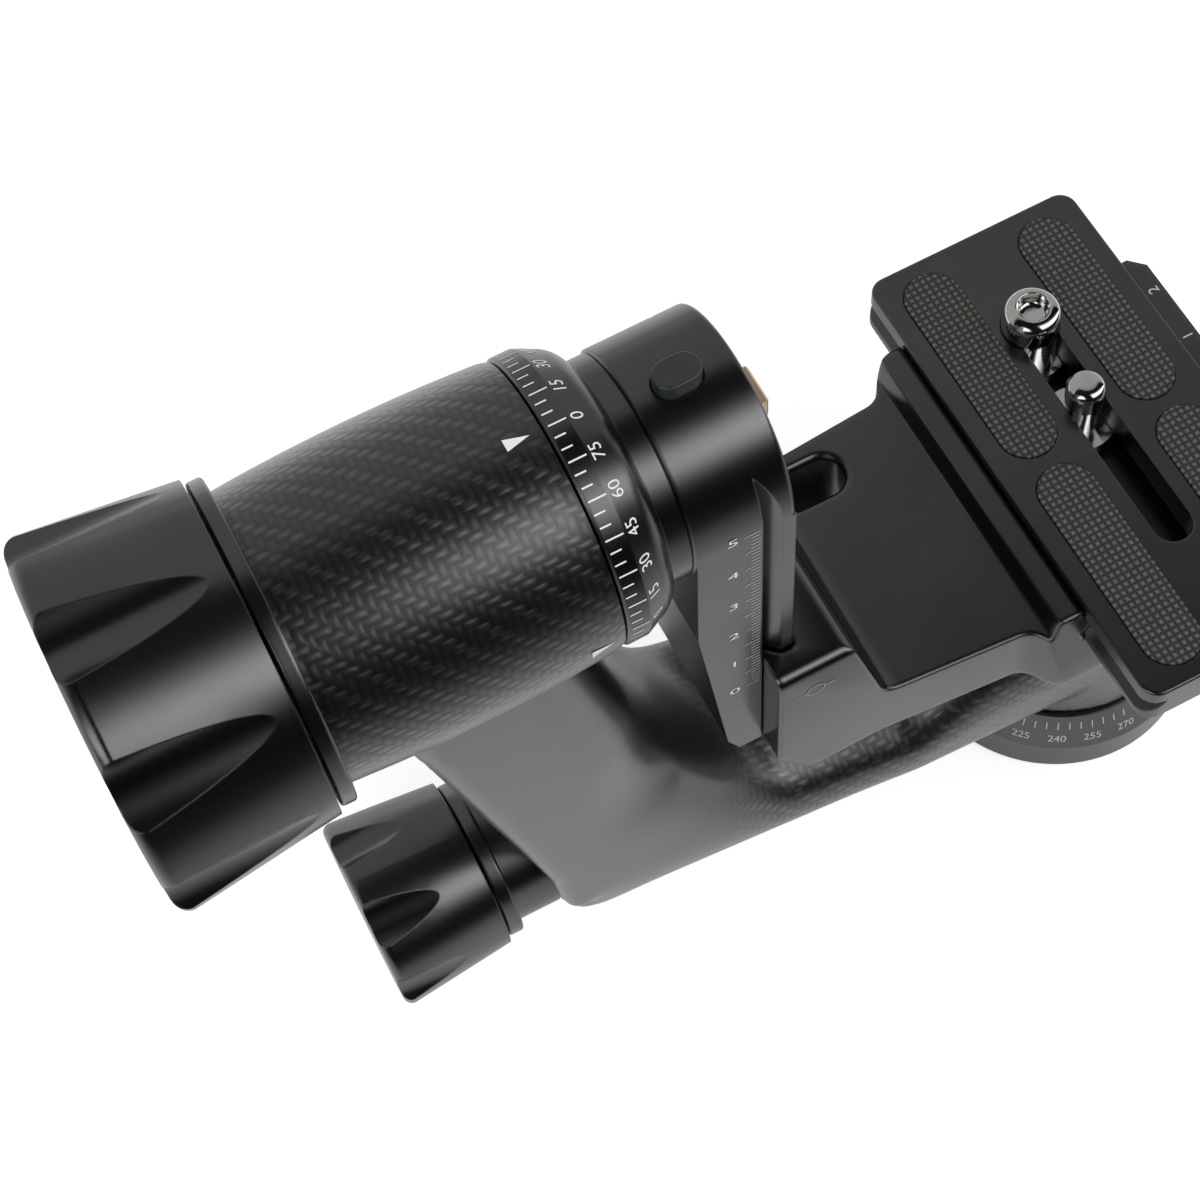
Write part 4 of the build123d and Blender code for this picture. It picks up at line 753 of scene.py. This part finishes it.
def coil(name, source, body):
    low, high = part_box(source)
    x0, y0, z0 = (low[0] + high[0]) / 2 / MM, (low[1] + high[1]) / 2 / MM, low[2] / MM
    half_wire = COIL_WIRE / 2
    radius = (high[0] - low[0]) / 2 / MM - half_wire
    verts = []
    for i in range(COIL_STEPS + 1):
        turn = 2 * math.pi * COIL_TURNS * i / COIL_STEPS
        z = z0 + half_wire + (COIL_LENGTH - COIL_WIRE) * i / COIL_STEPS
        for k in range(COIL_SIDES):
            reach, height = on_circle(radius, z, half_wire, 2 * math.pi * k / COIL_SIDES)
            verts.append((*on_circle(x0, y0, reach, turn), height))
    first = tuple(reversed(range(COIL_SIDES)))
    last = tuple(COIL_STEPS * COIL_SIDES + k for k in range(COIL_SIDES))
    faces = [first, last]
    for i in range(COIL_STEPS):
        here, there = i * COIL_SIDES, (i + 1) * COIL_SIDES
        for k in range(COIL_SIDES):
            nxt = (k + 1) % COIL_SIDES
            faces.append((here + k, here + nxt, there + nxt, there + k))
    mesh = mesh_from(name, verts, faces)
    piece = new_piece(name, mesh, slot_materials["spring_steel"], body, source)
    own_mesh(piece)


coil("button_coil", "button_spring", "swing")

# Index mark on the bracket's block: a ring with a short bar on each side
MARK_X, MARK_Z, MARK_Y = -65.4, 95.8, BLOCK_FRONT - LIFT
MARK_SIDES, MARK_INNER, MARK_OUTER = 40, 1.4, 1.57
MARK_BAR_START, MARK_BAR_END, MARK_BAR_HALF = 1.6, 3.2, 0.08
mark = []
for k in range(MARK_SIDES):
    start, end = (2 * math.pi * step / MARK_SIDES for step in (k, k + 1))
    corners = ((MARK_INNER, start), (MARK_OUTER, start), (MARK_OUTER, end), (MARK_INNER, end))
    outline = []
    for radius, angle in corners:
        x, z = on_circle(MARK_X, MARK_Z, radius, angle)
        outline.append((x, MARK_Y, z))
    mark.append((outline, QUAD))
for side in (-1, 1):
    mark.append(
        flat_bar(
            MARK_X + side * MARK_BAR_START,
            MARK_X + side * MARK_BAR_END,
            MARK_Z - MARK_BAR_HALF,
            MARK_Z + MARK_BAR_HALF,
            MARK_Y,
        )
    )
print_marks("index_mark", mark, dim_print, "bracket")

# Scale on the clamp's jaw, counted from the middle to both sides
JAW_Z = 82.4 + LIFT
JAW_TEXT_X, JAW_TEXT_SIZE = 21.9, 2.6
JAW_ZERO, JAW_STEP, JAW_STEPS = -1.8, 10.1, 2


def jaw_numeral(n):
    verts, faces = text_shape(str(abs(n)), JAW_TEXT_SIZE)
    middle = JAW_ZERO + n * JAW_STEP
    return [(JAW_TEXT_X - v, middle + u, JAW_Z) for u, v in verts], faces


numerals = [jaw_numeral(n) for n in range(-JAW_STEPS, JAW_STEPS + 1)]
print_marks("clamp_numerals", numerals, grey_print, "clamp_jaw")

# Numerals and ticks round the pan base's cone: a place is so far up its slope, at an angle
BASE_RADIUS, BASE_EDGE_Z = 25.85, 9.0
BASE_SLOPE = math.atan2(7.0, 3.35)
BASE_TEXT_RUN, BASE_TEXT_SIZE, BASE_TEXT_RADIUS = 2.3, 2.2, 24.0
BASE_TICK_START, BASE_TICK_END, BASE_TICK_HALF = 4.6, 6.2, 0.1


def base_radius(run):
    return BASE_RADIUS - run * math.cos(BASE_SLOPE) + LIFT * math.sin(BASE_SLOPE)


def on_base(run, degrees):
    x, y = on_circle(0.0, 0.0, base_radius(run), math.radians(degrees))
    return (x, y, BASE_EDGE_Z + run * math.sin(BASE_SLOPE) + LIFT * math.cos(BASE_SLOPE))


def base_tick(degrees):
    outline = []
    for run, side in (
        (BASE_TICK_START, -1),
        (BASE_TICK_START, 1),
        (BASE_TICK_END, 1),
        (BASE_TICK_END, -1),
    ):
        turn = side * math.degrees(BASE_TICK_HALF / base_radius(run))
        outline.append(on_base(run, degrees + turn))
    return outline, QUAD


def base_text(degrees):
    verts, faces = text_shape(str(degrees), BASE_TEXT_SIZE)
    placed = []
    for along, height in verts:
        turn = math.degrees(along / BASE_TEXT_RADIUS)
        placed.append(on_base(BASE_TEXT_RUN + height, degrees + turn))
    return placed, faces


base_steps = [step * STEP_DEGREES for step in range(STEPS_ROUND)]
numerals = [base_text(degrees) for degrees in base_steps[::STEPS_A_NUMERAL]]
print_marks("base_numerals", numerals, grey_print, "base")
print_marks("base_ticks", [base_tick(degrees) for degrees in base_steps], grey_print, "base")

# Floor, in metres
FLOOR_HALF, FLOOR_Z = 4.0, -0.0002
FLOOR_GREY, FLOOR_GLOW = 0.55, 0.66
FADE_START, FADE_END = -0.45, 1.55
floor_mesh = bpy.data.meshes.new("floor")
sides = ((-1, -1), (1, -1), (1, 1), (-1, 1))
floor_mesh.from_pydata([(FLOOR_HALF * a, FLOOR_HALF * b, 0) for a, b in sides], [], QUAD)
floor = bpy.data.objects.new("floor", floor_mesh)
floor.location.z = FLOOR_Z
scene.collection.objects.link(floor)
floor_mat = bpy.data.materials.new("floor_white")
floor_mat.use_nodes = True
tree = floor_mat.node_tree
tree.nodes.clear()
surface = node(tree, "ShaderNodeOutputMaterial")
diffuse = node(tree, "ShaderNodeBsdfDiffuse")
glow = node(tree, "ShaderNodeEmission")
both = node(tree, "ShaderNodeAddShader")
paths = node(tree, "ShaderNodeLightPath").outputs
seen = math_node(tree, "MULTIPLY", paths["Is Camera Ray"], FLOOR_GLOW)
tree.links.new(seen, glow.inputs["Strength"])
# Reflections show the table fading out towards the front, and far behind
depth = map_range(tree, split(tree, object_coords(tree))[1], FADE_START, FADE_END, form="LINEAR")
fading = grey_ramp(
    tree,
    depth,
    (0.0, 0.02),
    (0.097, 0.27),
    (0.14, 0.46),
    (0.167, 0.60),
    (0.2, 0.86),
    (0.5, 0.90),
    (0.95, 0.38),
    (1.0, 0.36),
)
mirrored = math_node(tree, "MAXIMUM", paths["Is Glossy Ray"], paths["Is Transmission Ray"])
tree.links.new(mix_colors(tree, mirrored, grey(FLOOR_GREY), fading), diffuse.inputs["Color"])
tree.links.new(diffuse.outputs[0], both.inputs[0])
tree.links.new(glow.outputs[0], both.inputs[1])
tree.links.new(both.outputs[0], surface.inputs[0])
floor_mesh.materials.append(floor_mat)

# World: white to the camera, an even studio to matt surfaces, and in reflections a pale back
# and a dark front
STUDIO_GREY = 0.75
PANEL_LIGHT = 2.4
PANEL_RIGHT = (0.05, 0.17)
PANEL_LEFT = (0.4, 0.6)
world = bpy.data.worlds.new("world")
scene.world = world
world.use_nodes = True
tree = world.node_tree
tree.nodes.clear()
surroundings = node(tree, "ShaderNodeOutputWorld")
background = node(tree, "ShaderNodeBackground")
direction = split(tree, node(tree, "ShaderNodeTexCoord").outputs["Generated"])
paths = node(tree, "ShaderNodeLightPath").outputs
# The angle from straight up towards the front, as a share of a full turn
to_front = math_node(tree, "MULTIPLY", direction[1], -1.0)
lean = math_node(tree, "ARCTAN2", to_front, direction[2])
lean = math_node(tree, "ADD", math_node(tree, "DIVIDE", lean, 2 * math.pi), 0.5)
studio = grey_ramp(
    tree,
    lean,
    (0.0, 1.0),
    (0.245, 1.0),
    (0.258, 0.36),
    (0.438, 0.33),
    (0.456, 0.004),
    (1.0, 0.004),
)
# A soft panel in front and above: it starts close to the middle on the right and far out on
# the left
panel = grey_ramp(
    tree,
    lean,
    (0.533, 0.0),
    (0.561, 0.22),
    (0.583, 0.72),
    (0.605, 1.0),
    (0.628, 0.88),
    (0.65, 0.42),
    (0.672, 0.06),
    (0.69, 0.0),
)
right_side = map_range(tree, direction[0], *PANEL_RIGHT, PANEL_LIGHT)
to_left = math_node(tree, "MULTIPLY", direction[0], -1.0)
left_side = map_range(tree, to_left, *PANEL_LEFT, PANEL_LIGHT)
panel = math_node(tree, "MULTIPLY", panel, math_node(tree, "ADD", right_side, left_side))
mirror_sky = math_node(tree, "ADD", studio, panel)
sky = mix_colors(tree, paths["Is Glossy Ray"], grey(STUDIO_GREY), mirror_sky)
sky = mix_colors(tree, paths["Is Camera Ray"], sky, grey(1.0))
tree.links.new(sky, background.inputs["Color"])
tree.links.new(background.outputs[0], surroundings.inputs[0])

# Softboxes, in metres and watts
BOX_FRONT, BOX_HEIGHT, BOX_AIM_HEIGHT = -0.964, 1.295, 0.146
BOX_WIDTH, BOX_DEPTH = 1.0, 0.8


def softbox(name, x, power):
    data = bpy.data.lights.new(name, "AREA")
    data.shape = "RECTANGLE"
    data.size = BOX_WIDTH
    data.size_y = BOX_DEPTH
    data.energy = power
    lamp = bpy.data.objects.new(name, data)
    scene.collection.objects.link(lamp)
    lamp.location = (x, BOX_FRONT, BOX_HEIGHT)
    lamp.rotation_mode = "QUATERNION"
    aim = Vector((x, 0, BOX_AIM_HEIGHT)) - lamp.location
    lamp.rotation_quaternion = aim.to_track_quat("-Z", "Y")
    lamp.visible_glossy = False


softbox("front_right", 0.60, 7.5)
softbox("front_left", -0.75, 4.0)
